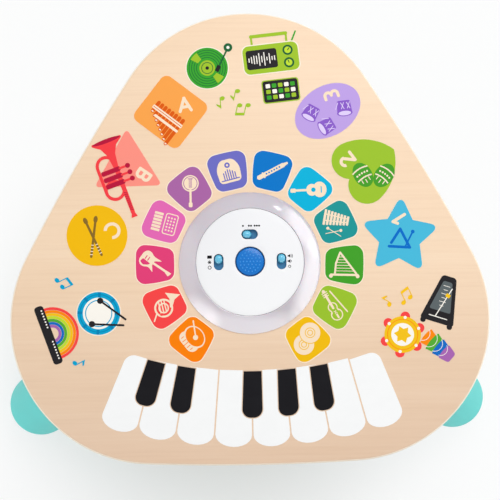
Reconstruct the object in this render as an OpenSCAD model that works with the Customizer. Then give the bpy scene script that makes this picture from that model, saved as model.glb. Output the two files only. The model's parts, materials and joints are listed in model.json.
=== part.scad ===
// Musical activity table for toddlers. A rounded three-cornered birch tabletop carries printed touch
// keys, tiles and shapes and a light-up control dome. A rim frame under it holds the electronics, and
// three splayed turned legs screw into angled blocks in its corners.
// +X is to the right, +Y away from the child at the keyboard, +Z up. The origin is on the floor,
// under the middle of the whole table.

/* [Tabletop] */
// Height of the playing surface above the floor
table_h = 340; // [300:5:400]
// Radius of the three rounded corners
corner_r = 136; // [128:1:142]
// Distance from the middle of the table to each corner's arc centre
corner_reach = 108; // [102:1:116]
// Radius of the three slightly bowed sides
side_r = 1970; // [1600:10:2400]
// Thickness of the birch panel
panel_t = 8; // [7:0.5:10]
// Radius of the panel's rounded edge
panel_round = 3; // [1:0.5:3.4]
// Depth of the rim frame under the panel
rim_depth = 24; // [23:1:32]
// Wall thickness of the rim frame
rim_wall = 12; // [10:1:14]
// How far the rim frame stands back from the panel's edge
rim_inset = 1.5; // [0.5:0.5:3]
// Thickness of the bottom cover
cover_t = 5; // [4:0.5:6]
// How far the bottom cover stands back from the panel's edge
cover_inset = 4; // [3:0.5:5]
// Distance between neighbouring cover screws along a side
cover_screw_pitch = 66; // [50:1:80]

/* [Legs] */
// Angle of each leg from the vertical
leg_splay = 15.5; // [12:0.5:18]
// Radius of the leg's rounded lower end
leg_end_r = 36; // [30:1:40]
// Radius of the leg at its top shoulder
leg_top_r = 25; // [22:1:27]
// Height of the leg's rounded end above the floor
foot_lift = 4; // [3:0.5:6]
// Radius of the rubber foot pad
pad_r = 16; // [12:1:20]
// Height of the foot pad, of which the upper part sits in the leg
pad_t = 11; // [10:0.5:14]
// Radius of the rounded edge under the foot pad
pad_round = 2; // [1:0.5:2.5]
// Radius of the glued block that carries a leg
block_r = 30; // [28:1:32]
// Distance of a leg block from the outer face of the rim frame
block_inset = 7; // [5:0.5:9]
// Radius of the steel stud in the top of a leg
stud_r = 4.95; // [3.9:0.05:5.5]
// Length of the stud inside the leg
stud_in_leg = 45; // [30:1:60]
// Length of the threaded insert in a block, and of the stud in it
insert_len = 20; // [14:1:22]
// Wall thickness of the threaded insert
insert_wall = 2; // [1.5:0.25:3]
// Radius of the circle of screws that hold a block
block_screw_ring = 19; // [17:0.5:21]

/* [Control dome] */
// Radius of the milky light ring at the tabletop
ring_r = 68; // [65:0.5:74]
// Height of the light ring's upper edge above the tabletop
ring_rise = 14; // [12:0.5:16]
// Height of the plain edge at the light ring's foot
ring_edge = 1; // [0.6:0.1:2]
// Radius of the ring's convex slope, seen in section
ring_bulge = 20.5; // [18:0.5:30]
// Wall thickness of the light ring
ring_wall = 2.4; // [2:0.1:2.8]
// Radius of the white control cap
cap_r = 51.2; // [50:0.1:52]
// Height of the crown of the control cap above its edge
cap_crown = 4.4; // [3.6:0.1:5]
// Wall thickness of the control cap
cap_wall = 2.4; // [2:0.1:2.8]
// Radius of the hole through the panel
hub_hole_r = 60; // [59.8:0.1:61]
// Radius of the tray that clamps the dome from below
tray_r = 66; // [64:0.5:70]
// Thickness of the tray
tray_t = 2.4; // [2:0.1:3]
// Radius of the circle of screws that join tray and light ring
hub_screw_ring = 54.5; // [54:0.1:54.8]
// Distance from the middle to the screws that hold the control cap
cap_screw_reach = 36; // [35:0.5:38]
// Radius of the control board
board_r = 49; // [47:0.5:49.5]
// Thickness of both circuit boards
board_t = 1.6; // [1:0.1:2]
// Number of light-emitting diodes under the light ring
led_count = 12; // [8:1:16]

/* [Centre button] */
// Radius of the centre button
button_r = 13.4; // [12:0.1:14]
// Height of the button's crown above the control cap
button_proud = 0.9; // [0.5:0.1:1.5]
// Travel of the button when it is pressed
button_travel = 1.6; // [1:0.1:1.8]

/* [Sliders] */
// Distance of the rear slider behind the middle
rear_slider_reach = 26; // [25.5:0.1:27]
// Distance of the two side sliders from the middle
side_slider_reach = 29.8; // [28:0.1:31]
// Length of the slot that a slider knob runs in
slot_len = 15.5; // [14:0.1:16.5]
// Width of that slot
slot_w = 9.3; // [8.5:0.1:9.8]
// Travel of a slider knob between its two ends
slider_travel = 5.3; // [4:0.1:5.5]
// Height of a knob above the control cap
knob_proud = 1.6; // [1:0.1:2.4]

/* [Electronics] */
// Length of the main board across the table
main_board_l = 84; // [70:1:90]
// Width of the main board
main_board_w = 56; // [45:1:60]
// Height of the spacers under the main board
spacer_h = 5; // [4:0.5:6]
// Distance of the main board to the left of the middle
main_board_x = 88; // [84:1:92]
// Radius of the speaker
speaker_r = 28.5; // [25:0.5:30]
// Height of the speaker
speaker_h = 17; // [15:0.5:18]
// Distance of the speaker in front of the middle
speaker_y = 112; // [105:1:120]
// Rings of holes in the speaker grille round its middle hole
grille_rings = 3; // [2:1:4]

/* [Battery compartment] */
// Diameter of a battery cell
cell_d = 14.5; // [14:0.1:15]
// Length of a battery cell
cell_l = 50.5; // [49:0.5:51]
// Distance of the battery box behind the middle
battery_y = 88; // [84:1:95]
// Wall thickness of the battery box
box_wall = 2; // [1.6:0.1:2.4]
// Thickness of the battery door and of the flange round it
door_t = 2; // [1.8:0.1:2.4]
// Width of the flange round the battery box
flange_w = 6; // [5.5:0.1:8]

/* [Printed keyboard] */
// Thickness of every printed film
print_t = 0.2; // [0.1:0.05:0.3]
// How far the back of the keyboard reaches inside the circle round the tiles
key_overlap = 5; // [3:0.5:6]
// Radius of the arc along the back of the keys
fan_r = 360; // [330:5:400]
// Width of a white key at its back, with half of the bare line on each side
key_w = 31; // [28:0.1:32]
// Length of a white key
key_l = 74; // [66:1:76]
// Length of a black key
black_l = 46; // [38:1:52]
// Width of the bare line between two white keys
key_gap = 1.4; // [1:0.1:2]
// Width of a black key
black_w = 17; // [14:0.5:19]

/* [Printed tiles and shapes] */
// Distance from the middle of the table to the inner edge of the tiles
tile_in = 74; // [73:0.5:78]
// Distance from the middle of the table to the outer edge of the tiles
tile_out = 107.5; // [104:0.5:110]
// Width of a tile at its outer edge
tile_w = 36.5; // [32:0.5:38]
// Side of the printed square
square_side = 53.6; // [46:0.1:55]
// Side of the printed triangle, to its sharp corners
triangle_side = 65; // [56:0.5:68]
// Radius of the printed circle
circle_r = 29.2; // [25:0.1:31]
// Half of the printed oval's length
oval_half_l = 34.2; // [30:0.1:36]
// Half of the printed oval's width
oval_half_w = 24.3; // [20:0.1:26]
// Radius of the printed heart's two lobes
heart_lobe = 18; // [15:0.5:19]
// Distance from the middle of the printed star to its sharp points
star_r = 41; // [35:0.5:43]

/* [Fits] */
// Running clearance of the button in its collar, the sliders in their rails and the door's pins
running_gap = 0.06; // [0.03:0.01:0.1]
// Clearance between pieces that must not rub
free_gap = 0.4; // [0.3:0.05:0.5]
// Width of the joint line between the light ring and the control cap
joint_gap = 0.3; // [0.2:0.05:0.4]

/* [Hidden] */
$fn = 64;

birch = [0.93, 0.82, 0.68];
beech = [0.86, 0.70, 0.52];
turquoise = [0.42, 0.81, 0.79];
board_green = [0.10, 0.38, 0.22];
steel = [0.72, 0.72, 0.74];

// Levels from the floor up
panel_z = table_h - panel_t;
rim_z = panel_z - rim_depth;
cover_z = rim_z - cover_t;

// Cuts run past the faces that they open by over, and joined solids lap by eps
over = 1;
eps = 0.01;
corner_steps = 10;

// Screws: small ones throughout, larger ones in the leg blocks
screw_r = 1.5;
screw_hole_r = screw_r + 0.2;
screw_head_r = 2.8;
screw_head_t = 1.8;
cover_screw_bite = 12;
cover_screw_sink = 2;
block_screw_r = 1.75;
block_screw_bite = 5.5;
block_screw_head_r = 3.6;
block_screw_head_t = 2.2;
block_screw_z = cover_z + 3;

// Outline of the tabletop: each bowed side is an arc that meets the corner arcs without a kink
inner_side_r = side_r - corner_r;
side_offset = (-corner_reach + sqrt(4 * inner_side_r ^ 2 - 3 * corner_reach ^ 2)) / 2;
corner_half = atan2(side_offset * sin(60), corner_reach + side_offset * cos(60));
side_half = 60 - corner_half;
front_edge = side_r - side_offset;
corner_angles = [210, 330, 90];
side_angles = [30, 150, 270];

// Legs: the shoulder sits square to the leg's axis, just below the bottom cover
seat_drop = 2;
seat_z = cover_z - leg_top_r * sin(leg_splay) - seat_drop;
leg_end_z = foot_lift + leg_end_r;
seat_reach = corner_reach + corner_r - rim_inset - block_inset - block_r;
foot_reach = seat_reach + (seat_z - leg_end_z) * tan(leg_splay);
leg_len = (seat_z - leg_end_z) / cos(leg_splay);
leg_taper = asin(leg_end_r / norm([leg_top_r, leg_len])) - atan(leg_top_r / leg_len);
leg_edge = 2;
block_gap = free_gap;

// The table's middle is moved so that the origin lies under the middle of its bounding box
rear_extent = max(foot_reach + leg_end_r, corner_reach + corner_r);
front_extent = max(front_edge, foot_reach * sin(30) + leg_end_r);
centre_y = (front_extent - rear_extent) / 2;

// Control dome, with heights from the tabletop
cap_hole_r = cap_r + joint_gap;
cap_flange = 3;
cap_edge_z = ring_rise - 0.4;
cap_top_z = cap_edge_z + cap_crown;
cap_sphere_r = (cap_r ^ 2 + cap_crown ^ 2) / (2 * cap_crown);
ledge_top = 9.4;
ledge_t = 2;
slope_foot = [ring_r, ring_edge];
slope_top = [cap_hole_r, ring_rise];
slope_half = norm(slope_top - slope_foot) / 2;
slope_dir = (slope_top - slope_foot) / (2 * slope_half);
slope_mid = (slope_top + slope_foot) / 2;
slope_centre = slope_mid + sqrt(ring_bulge ^ 2 - slope_half ^ 2) * [-slope_dir[1], slope_dir[0]];
skirt_t = 2.3;
tray_top = -panel_t - 1;
tray_bottom = tray_top - tray_t;
board_top = -0.4;
board_bottom = board_top - board_t;
boss_r = 3.8;
post_r = 3.5;
hub_screw_bite = 9;
cap_screw_bite = 9;
cap_screw_angles = [-90, 45, 135];
lead_slot = [4, 12];
hub_screw_angles = [45, 135, 225, 315];

// Centre button
button_bore_r = button_r + running_gap;
button_groove_r = button_r + 0.9;
button_groove_d = 2.4;
button_wall = 1.8;
button_ring_r = 8.3;
button_groove_w = 0.9;
button_crown_r = 60;
button_top_z = cap_top_z + button_proud;
button_flange_r = button_r + 2.2;
button_flange_t = 1.5;
rubber_pad_t = 0.7;
rubber_foot_t = 0.8;
rubber_top = board_top + rubber_foot_t + rubber_pad_t + button_travel + 0.3;
rubber_r = 4;
button_flange_z = rubber_top + 0.7 + button_flange_t;

// Sliders: the knob stands on a dark shutter plate that runs in rails under the cap
end_gap = 0.15;
knob_rest = -slider_travel / 2;
knob_len = slot_len - slider_travel - 2 * end_gap;
knob_w = slot_w - 2 * end_gap - 0.3;
shutter_overlap = 1.2;
shutter_w = slot_w + 2 * shutter_overlap;
shutter_t = 1.2;
pad_z = 12.5;
shutter_z = pad_z - running_gap - shutter_t;
rail_t = 1.4;
rail_z = 9.9;
rail_half = slot_len / 2 + slider_travel + 0.9;
lip_w = 1;
lever_w = 2;
lever_d = 1.8;
lever_top = 6.2;
lever_foot = 1.4;
switch_size = [11.5, 5, 3.6];
prong_t = 1.3;
prong_w = 4;
prong_z = 4.4;

// Battery compartment, with heights from the floor and places from the box's middle
cell_pitch = cell_d + 0.8;
contact_room = 3.2;
box_half_x = 1.5 * cell_pitch + 0.5;
box_half_y = cell_l / 2 + contact_room;
ledge_l = 8.6;
door_z = cover_z - door_t;
knuckle_r = 2;
hinge_y = box_half_y - knuckle_r - free_gap;
hinge_pin_r = 1.2;
hinge_pin_l = 1.5;
cell_z = cover_z + knuckle_r + 0.6 + cell_d / 2;
box_roof_z = cell_z + cell_d / 2 + 0.5;
door_screw_y = -box_half_y - ledge_l / 2;
door_screw_bite = 2;
box_outer_x = box_half_x + box_wall;
box_rear_y = box_half_y + box_wall;
box_front_y = box_half_y + ledge_l + box_wall;
box_screw_bite = 4;

// Main board, touch sheet, leads and speaker
main_board_y = 8;
main_board_z = rim_z + spacer_h;
spacer_r = 3;
spacer_inset = 5;
spacer_screw_bite = 3.5;
sheet_t = 0.4;
ribbon_w = 16;
ribbon_t = 0.4;
ribbon_x = -main_board_x - main_board_l / 4;
socket_h = 4;
lead_x = -main_board_x + 12;
lead_r = 0.8;
lead_apart = 2.4;
lead_z = main_board_z + board_t + 2.4;
lead_bend = 6;
grille_pitch = 6.4;
grille_hole_r = 1.6;
gasket_t = 1;
speaker_flange_t = 1.5;
speaker_screw_bite = 3.5;
magnet_r = 14;
magnet_h = 7;
tab = [10, 5, 1.4];

// Keyboard: black keys lie on boundaries that are counted from the middle
key_reach = tile_out - key_overlap;
key_pitch = key_w / fan_r * 180 / PI;
white_count = 8;
white_corner = 11;
back_corner = 0.5;
black_steps = [-3, -2, 0, 1, 2];

// Tiles run clockwise, first the six on the right, then the six on the left from the front
tile_colors = [[0.00, 0.46, 0.79], [0.00, 0.70, 0.86], [0.12, 0.59, 0.59], [0.25, 0.63, 0.16],
    [0.61, 0.76, 0.18], [0.96, 0.75, 0.04], [1.00, 0.51, 0.00], [0.98, 0.27, 0.27],
    [0.90, 0.25, 0.47], [0.90, 0.41, 0.71], [0.67, 0.40, 0.65], [0.43, 0.43, 0.76]];
tile_count = 12;
tile_pitch = 26;
tile_half_turn = 13;
tile_in_round = 6;
tile_out_round = 10;
square_round = 7;
triangle_round = 3;
star_round = 4.5;

// Places and turns of the six big shapes on the table
square_place = [-74, 147, 52];
triangle_place = [-116, 94.5, 1];
circle_place = [-146, 28, 0];
oval_place = [78, 146, 31];
heart_place = [106, 85, -57];
star_place = [145, 23, -3.5];

module centred() {
    translate([0, centre_y, 0]) children();
}

// Everything of the dome is placed with heights counted from the tabletop
module on_top() {
    translate([0, centre_y, table_h]) children();
}

// Frame at the middle of a leg's shoulder, with -Z pointing down along the leg
module at_seat(angle) {
    rotate(angle) translate([seat_reach, 0, seat_z]) rotate([0, -leg_splay, 0]) children();
}

// Upright frame on the axis of a leg block, on the floor
module at_block(angle) {
    rotate(angle) translate([seat_reach, 0, 0]) children();
}

module at_block_screws(angle) {
    at_block(angle) for (a = [60, 180, 300]) rotate(a) translate([block_screw_ring, 0, 0]) children();
}

// Points along the sides, on the middle line of the rim frame
module at_cover_screws() {
    arc_r = side_r - rim_inset - rim_wall / 2;
    for (side = side_angles, step = [-1:1])
        rotate(side) translate([-side_offset, 0, 0]) rotate(step * cover_screw_pitch / arc_r * 180 / PI)
            translate([arc_r, 0, 0]) children();
}

// The tabletop's outline, set in by a given width; both numbers count the facets of a full circle
module outline(inset, corner_facets = 120, side_facets = 1440) {
    wedge_in = 0.9 * inner_side_r;
    wedge_out = 1.1 * side_r;
    for (corner = corner_angles)
        rotate(corner) translate([corner_reach, 0]) circle(r = corner_r - inset, $fn = corner_facets);
    intersection() {
        intersection_for (side = side_angles)
            rotate(side) translate([-side_offset, 0]) circle(r = side_r - inset, $fn = side_facets);
        union() {
            polygon([for (corner = corner_angles) corner_reach * [cos(corner), sin(corner)]]);
            for (side = side_angles) rotate(side) translate([-side_offset, 0])
                polygon([for (p = [[wedge_in, 1], [wedge_in, -1], [wedge_out, -1], [wedge_out, 1]])
                    p[0] * [1, p[1] * tan(side_half)]]);
        }
    }
}

// A board of the tabletop's outline with rounded edges: slabs that grow wider as they get thinner
module rounded_board(t, round_r) {
    hull() for (a = [0:22.5:90]) {
        level = round_r * (1 - cos(a));
        translate([0, 0, level]) linear_extrude(t - 2 * level) outline(round_r * (1 - sin(a)), 72, 360);
    }
}

// A round hole from below one level up to another
module hole(r, bottom, top) {
    translate([0, 0, bottom - over]) cylinder(r = r, h = top - bottom + over, $fn = 48);
}

// A round hole from above one level down by a given depth
module pilot_hole(r, top, depth) {
    translate([0, 0, top - depth]) cylinder(r = r, h = depth + over, $fn = 48);
}

// A pan-head screw that points up, with the underside of its head at z = 0
module screw(shank_r, shank_l, head_r, head_t) {
    recess_l = 1.2 * head_r;
    recess_w = 0.36 * head_r;
    difference() {
        union() {
            cylinder(r = shank_r, h = shank_l, $fn = 24);
            translate([0, 0, -head_t]) cylinder(r = head_r, h = head_t, $fn = 32);
        }
        for (a = [0, 90]) rotate(a) translate([-recess_l / 2, -recess_w / 2, -head_t - eps])
            cube([recess_l, recess_w, head_t / 2]);
    }
}

// A flat slot shape with round ends, lying along X
module stadium(length, width) {
    square([length - width, width], center = true);
    for (end = [-1, 1]) translate([end * (length - width) / 2, 0]) circle(d = width);
}

function turned(v, a) = [v[0] * cos(a) - v[1] * sin(a), v[0] * sin(a) + v[1] * cos(a)];

// Points of the arc that rounds one corner, between the directions to its two neighbours
function corner_arc(corner, to_last, to_next, r) =
    let (half = acos(to_last * to_next) / 2,
        middle = corner + (to_last + to_next) / norm(to_last + to_next) * r / sin(half),
        first = corner + to_last * r / tan(half) - middle)
    [for (i = [0:corner_steps]) middle + turned(first, (180 - 2 * half) * i / corner_steps)];

// A polygon whose corners are rounded, each by its own radius; points run counter-clockwise
module rounded_polygon(points, radii) {
    n = len(points);
    to_last = [for (i = [0:n - 1]) points[(i + n - 1) % n] - points[i]];
    to_next = [for (i = [0:n - 1]) points[(i + 1) % n] - points[i]];
    polygon([for (i = [0:n - 1]) each radii[i] == 0 ? [points[i]]
        : corner_arc(points[i], to_last[i] / norm(to_last[i]), to_next[i] / norm(to_next[i]), radii[i])]);
}

// ---- Tabletop ----

module top_panel() {
    color(birch) centred() difference() {
        translate([0, 0, panel_z]) rounded_board(panel_t, panel_round);
        hole(hub_hole_r, panel_z, table_h + over);
        for (corner = corner_angles) at_block_screws(corner)
            hole(block_screw_r, panel_z, panel_z + block_screw_bite);
    }
}

module rim_frame() {
    color(beech) centred() difference() {
        translate([0, 0, rim_z]) linear_extrude(rim_depth) difference() {
            outline(rim_inset);
            outline(rim_inset + rim_wall);
        }
        for (corner = corner_angles) at_block(corner) hole(block_r + block_gap, rim_z, panel_z + over);
        at_cover_screws() hole(screw_r, rim_z, rim_z + cover_screw_bite);
    }
}

module bottom_cover() {
    color(birch) centred() difference() {
        translate([0, 0, cover_z]) linear_extrude(cover_t) outline(cover_inset);
        for (corner = corner_angles) at_block(corner) hole(block_r + block_gap, cover_z, rim_z + over);
        at_cover_screws() {
            hole(screw_hole_r, cover_z, rim_z + over);
            hole(screw_head_r + free_gap, cover_z, cover_z + cover_screw_sink);
        }
        at_grille_holes() hole(grille_hole_r, cover_z, rim_z + over);
        translate([-box_outer_x - free_gap, battery_y - box_front_y - free_gap, cover_z - over])
            cube([2 * (box_outer_x + free_gap), box_front_y + box_rear_y + 2 * free_gap, cover_t + 2 * over]);
        at_box_screws() hole(screw_r, cover_z, cover_z + box_screw_bite);
        at_speaker_screws() pilot_hole(screw_r, rim_z, speaker_screw_bite);
        at_spacers() pilot_hole(screw_r, rim_z, spacer_screw_bite);
    }
}

module cover_screws() {
    color(steel) centred() at_cover_screws() translate([0, 0, cover_z + cover_screw_sink])
        screw(screw_r, cover_t - cover_screw_sink + cover_screw_bite, screw_head_r, screw_head_t);
}

// ---- Legs ----

module leg_block(corner) {
    color(beech) centred() difference() {
        at_block(corner) translate([0, 0, seat_z - block_r])
            cylinder(r = block_r, h = panel_z - seat_z + block_r);
        at_seat(corner) translate([-2 * block_r, -2 * block_r, -4 * block_r]) cube(4 * block_r);
        at_seat(corner) hole(stud_r + insert_wall, 0, insert_len);
        at_block_screws(corner) {
            hole(block_screw_head_r + free_gap, over, block_screw_z);
            hole(block_screw_r, over, table_h);
        }
    }
}

// A turned leg along -Z from its shoulder: a taper that runs into the ball end without a kink
module turned_leg() {
    ball_join = [leg_end_r * cos(leg_taper), leg_end_r * sin(leg_taper) - leg_len];
    translate([0, 0, -leg_edge]) cylinder(r1 = leg_top_r, r2 = leg_top_r - leg_edge, h = leg_edge, $fn = 96);
    translate([0, 0, ball_join[1]])
        cylinder(r1 = ball_join[0], r2 = leg_top_r, h = -ball_join[1] - leg_edge, $fn = 96);
    translate([0, 0, -leg_len]) sphere(r = leg_end_r, $fn = 96);
}

module leg(corner) {
    color(turquoise) centred() difference() {
        at_seat(corner) turned_leg();
        at_seat(corner) pilot_hole(stud_r, 0, stud_in_leg);
        rotate(corner) translate([foot_reach, 0, 0]) hole(pad_r, 0, pad_t);
    }
}

module leg_studs() {
    color(steel) centred() for (corner = corner_angles)
        at_seat(corner) translate([0, 0, -stud_in_leg]) cylinder(r = stud_r, h = stud_in_leg + insert_len);
}

module thread_inserts() {
    color([0.80, 0.68, 0.35]) centred() for (corner = corner_angles) at_seat(corner) difference() {
        cylinder(r = stud_r + insert_wall, h = insert_len);
        hole(stud_r, 0, insert_len + over);
    }
}

module block_screws() {
    shank = panel_z + block_screw_bite - block_screw_z;
    color(steel) centred() for (corner = corner_angles) at_block_screws(corner)
        translate([0, 0, block_screw_z]) screw(block_screw_r, shank, block_screw_head_r, block_screw_head_t);
}

module foot_pad(corner) {
    color([0.25, 0.45, 0.46]) centred() rotate(corner) translate([foot_reach, 0, 0])
        rotate_extrude() intersection() {
            square([pad_r, pad_t]);
            union() {
                translate([0, pad_round]) square([pad_r, pad_t]);
                square([pad_r - pad_round, pad_t]);
                translate([pad_r - pad_round, pad_round]) circle(r = pad_round, $fn = 32);
            }
        }
}

// ---- Control dome ----

module at_hub_screws() {
    for (a = hub_screw_angles) rotate(a) translate([hub_screw_ring, 0, 0]) children();
}

module at_cap_screws() {
    for (a = cap_screw_angles) rotate(a) translate([cap_screw_reach, 0, 0]) children();
}

// Section of the light ring: the sloping shell, the ledge for the cap and the skirt through the panel
module ring_section() {
    skirt_r = hub_hole_r - free_gap;
    intersection() {
        translate([cap_hole_r, 0]) square([ring_r - cap_hole_r, ring_rise]);
        difference() {
            translate(slope_centre) circle(r = ring_bulge, $fn = 160);
            translate(slope_centre) circle(r = ring_bulge - ring_wall, $fn = 160);
        }
    }
    intersection() {
        translate(slope_centre) circle(r = ring_bulge, $fn = 160);
        union() {
            translate([cap_hole_r, ledge_top - ledge_t]) square([ring_wall, ring_rise]);
            translate([skirt_r - skirt_t, 0]) square([skirt_t, ring_rise - ring_wall]);
        }
    }
    translate([cap_hole_r - cap_flange, ledge_top - ledge_t]) square([cap_flange + ring_wall, ledge_t]);
    translate([skirt_r - skirt_t, tray_top]) square([skirt_t, -tray_top + ring_edge]);
}

module light_ring() {
    boss_foot = tray_top + free_gap;
    color([0.86, 0.86, 0.89]) on_top() difference() {
        union() {
            rotate_extrude($fn = 128) ring_section();
            at_hub_screws() translate([0, 0, boss_foot])
                cylinder(r = boss_r, h = ledge_top - ledge_t / 2 - boss_foot, $fn = 32);
        }
        at_hub_screws() hole(screw_r, tray_top, tray_top + hub_screw_bite + free_gap);
    }
}

// Solid under the cap's crown, which trims what is added below it
module cap_envelope(drop) {
    intersection() {
        translate([0, 0, cap_top_z - cap_sphere_r]) sphere(r = cap_sphere_r - drop, $fn = 300);
        cylinder(r = cap_r, h = cap_top_z + over);
    }
}

// Runs its children at each slider: X is the way the knob travels, the knob rests at -X
module at_slider(place) {
    if (place == 0) translate([0, rear_slider_reach, 0]) children();
    if (place == 1) translate([-side_slider_reach, 0, 0]) rotate(-90) children();
    if (place == 2) translate([side_slider_reach, 0, 0]) rotate(-90) children();
}

module cap_rails() {
    channel_half = shutter_w / 2 + running_gap;
    for (side = [-1, 1]) {
        translate([-rail_half, side > 0 ? channel_half : -channel_half - rail_t, rail_z])
            cube([2 * rail_half, rail_t, pad_z - rail_z + eps]);
        translate([-rail_half, side > 0 ? channel_half - lip_w : -channel_half, rail_z])
            cube([2 * rail_half, lip_w + eps, shutter_z - running_gap - rail_z]);
    }
}

module control_cap() {
    pad_half = shutter_w / 2 + running_gap + rail_t;
    collar_z = button_flange_z + running_gap;
    color("white") on_top() difference() {
        union() {
            difference() {
                cap_envelope(0);
                cylinder(r = cap_r - cap_flange, h = cap_edge_z - cap_wall);
                hole(cap_r + over, 0, ledge_top);
                intersection() {
                    cap_envelope(cap_wall);
                    cylinder(r = cap_r - cap_flange, h = cap_top_z);
                }
            }
            intersection() {
                cap_envelope(cap_wall / 2);
                union() {
                    for (place = [0:2]) at_slider(place) translate([-rail_half, -pad_half, pad_z])
                        cube([2 * rail_half, 2 * pad_half, cap_top_z]);
                    translate([0, 0, collar_z]) cylinder(r = button_groove_r + cap_wall, h = cap_top_z);
                    at_cap_screws() translate([0, 0, board_top])
                        cylinder(r = post_r, h = cap_top_z, $fn = 32);
                }
            }
            for (place = [0:2]) at_slider(place) cap_rails();
            at_cap_screws() translate([0, 0, board_top])
                cylinder(r = post_r, h = pad_z - board_top, $fn = 32);
        }
        cylinder(r = button_bore_r, h = cap_top_z + over);
        pilot_hole(button_groove_r, cap_top_z, button_groove_d);
        for (place = [0:2]) at_slider(place)
            translate([0, 0, pad_z - over]) linear_extrude(cap_top_z) stadium(slot_len, slot_w);
        at_cap_screws() hole(screw_r, board_top, board_top + cap_screw_bite);
    }
}

module centre_button() {
    crown_z = button_top_z - button_crown_r;
    color([0.05, 0.48, 0.80]) on_top() difference() {
        union() {
            intersection() {
                translate([0, 0, button_flange_z - button_flange_t]) cylinder(r = button_r, h = button_top_z);
                translate([0, 0, crown_z]) sphere(r = button_crown_r, $fn = 240);
            }
            translate([0, 0, button_flange_z - button_flange_t])
                cylinder(r = button_flange_r, h = button_flange_t);
        }
        difference() {
            intersection() {
                cylinder(r = button_r - button_wall, h = button_top_z);
                translate([0, 0, crown_z]) sphere(r = button_crown_r - button_wall, $fn = 240);
            }
            translate([0, 0, rubber_top + 0.1]) cylinder(r = rubber_r + 0.4, h = button_top_z, $fn = 32);
        }
        translate([0, 0, button_top_z - button_groove_w]) difference() {
            cylinder(r = button_ring_r + button_groove_w, h = 2);
            hole(button_ring_r, 0, 3);
        }
    }
}

module button_rubber() {
    skirt_top = rubber_top - rubber_pad_t;
    color([0.75, 0.75, 0.72]) on_top() difference() {
        union() {
            translate([0, 0, board_top]) cylinder(r = 2.25 * rubber_r, h = rubber_foot_t, $fn = 32);
            translate([0, 0, board_top])
                cylinder(r1 = 1.85 * rubber_r, r2 = 1.1 * rubber_r, h = skirt_top - board_top, $fn = 32);
            translate([0, 0, skirt_top - eps]) cylinder(r = rubber_r, h = rubber_pad_t + eps, $fn = 32);
        }
        translate([0, 0, board_top - over])
            cylinder(r1 = 1.75 * rubber_r, r2 = 0.75 * rubber_r, h = skirt_top - board_top, $fn = 32);
    }
}

module slider_knob(place) {
    reach = norm([place == 0 ? rear_slider_reach : side_slider_reach, slot_w / 2]);
    knob_top = cap_top_z - cap_sphere_r + sqrt(cap_sphere_r ^ 2 - reach ^ 2) + knob_proud;
    crown_r = 14;
    color([0.45, 0.80, 0.95]) on_top() at_slider(place) translate([knob_rest, 0, 0]) intersection() {
        translate([0, 0, shutter_z + shutter_t]) linear_extrude(cap_top_z) stadium(knob_len, knob_w);
        translate([0, 0, knob_top - crown_r]) sphere(r = crown_r, $fn = 96);
    }
}

// The shutter reaches past the slot at both ends of the travel; its fork holds the switch lever
module slider_carriage(place) {
    shutter_end = slot_len / 2 + 0.5;
    fork_gap = lever_w / 2 + 0.1;
    color([0.02, 0.20, 0.50]) on_top() at_slider(place) {
        translate([-shutter_end - slider_travel, -shutter_w / 2, shutter_z])
            cube([2 * shutter_end + slider_travel, shutter_w, shutter_t]);
        for (side = [0, 1])
            translate([knob_rest + (side == 0 ? fork_gap : -fork_gap - prong_t), -prong_w / 2, prong_z])
                cube([prong_t, prong_w, shutter_z - prong_z]);
    }
}

module slider_lever(place) {
    color(steel) on_top() at_slider(place) translate([knob_rest - lever_w / 2, -lever_d / 2, lever_foot])
        cube([lever_w, lever_d, lever_top - lever_foot]);
}

module slide_switches() {
    pocket_len = slider_travel + lever_w + 0.6;
    pocket_w = lever_d + 0.5;
    color([0.60, 0.61, 0.63]) on_top() for (place = [0:2]) at_slider(place) difference() {
        translate([-switch_size[0] / 2, -switch_size[1] / 2, board_top]) cube(switch_size);
        translate([-pocket_len / 2, -pocket_w / 2, lever_foot - free_gap])
            cube([pocket_len, pocket_w, switch_size[2]]);
    }
}

module control_board() {
    color(board_green) on_top() difference() {
        translate([0, 0, board_bottom]) cylinder(r = board_r, h = board_t);
        at_cap_screws() hole(screw_r, board_bottom, board_top + over);
    }
}

module ring_leds() {
    led = [2.2, 3.5, 1.6];
    color([0.98, 0.96, 0.80]) on_top() for (i = [0:led_count - 1])
        rotate(i * 360 / led_count) translate([board_r - led[0] - 1, -led[1] / 2, board_top]) cube(led);
}

module hub_tray() {
    color([0.90, 0.90, 0.90]) on_top() difference() {
        union() {
            translate([0, 0, tray_bottom]) cylinder(r = tray_r, h = tray_t);
            translate([0, 0, tray_top - eps]) difference() {
                cylinder(r = tray_r, h = -panel_t - tray_top + eps);
                hole(hub_hole_r + free_gap, 0, -panel_t - tray_top + over);
            }
            at_cap_screws() translate([0, 0, tray_bottom])
                cylinder(r = post_r, h = board_bottom - tray_bottom, $fn = 32);
        }
        at_cap_screws() hole(screw_r, tray_bottom, board_bottom + over);
        at_hub_screws() hole(screw_r, tray_bottom, tray_top + over);
        translate([-board_r / 2, 0, tray_bottom - over]) linear_extrude(tray_t + 2 * over)
            square(lead_slot, center = true);
    }
}

module hub_screws() {
    color(steel) on_top() at_hub_screws() translate([0, 0, tray_bottom])
        screw(screw_r, tray_t + hub_screw_bite, screw_head_r, screw_head_t);
}

module cap_screws() {
    color(steel) on_top() at_cap_screws() translate([0, 0, tray_bottom])
        screw(screw_r, board_top - tray_bottom + cap_screw_bite - 0.5, screw_head_r, screw_head_t);
}

// ---- Electronics ----

module touch_sheet() {
    color([0.85, 0.62, 0.35]) centred() translate([0, 0, panel_z - sheet_t])
        linear_extrude(sheet_t) difference() {
            outline(rim_inset + rim_wall + free_gap);
            circle(r = tray_r + free_gap);
            for (corner = corner_angles)
                rotate(corner) translate([seat_reach, 0]) circle(r = block_r + free_gap);
        }
}

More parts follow.
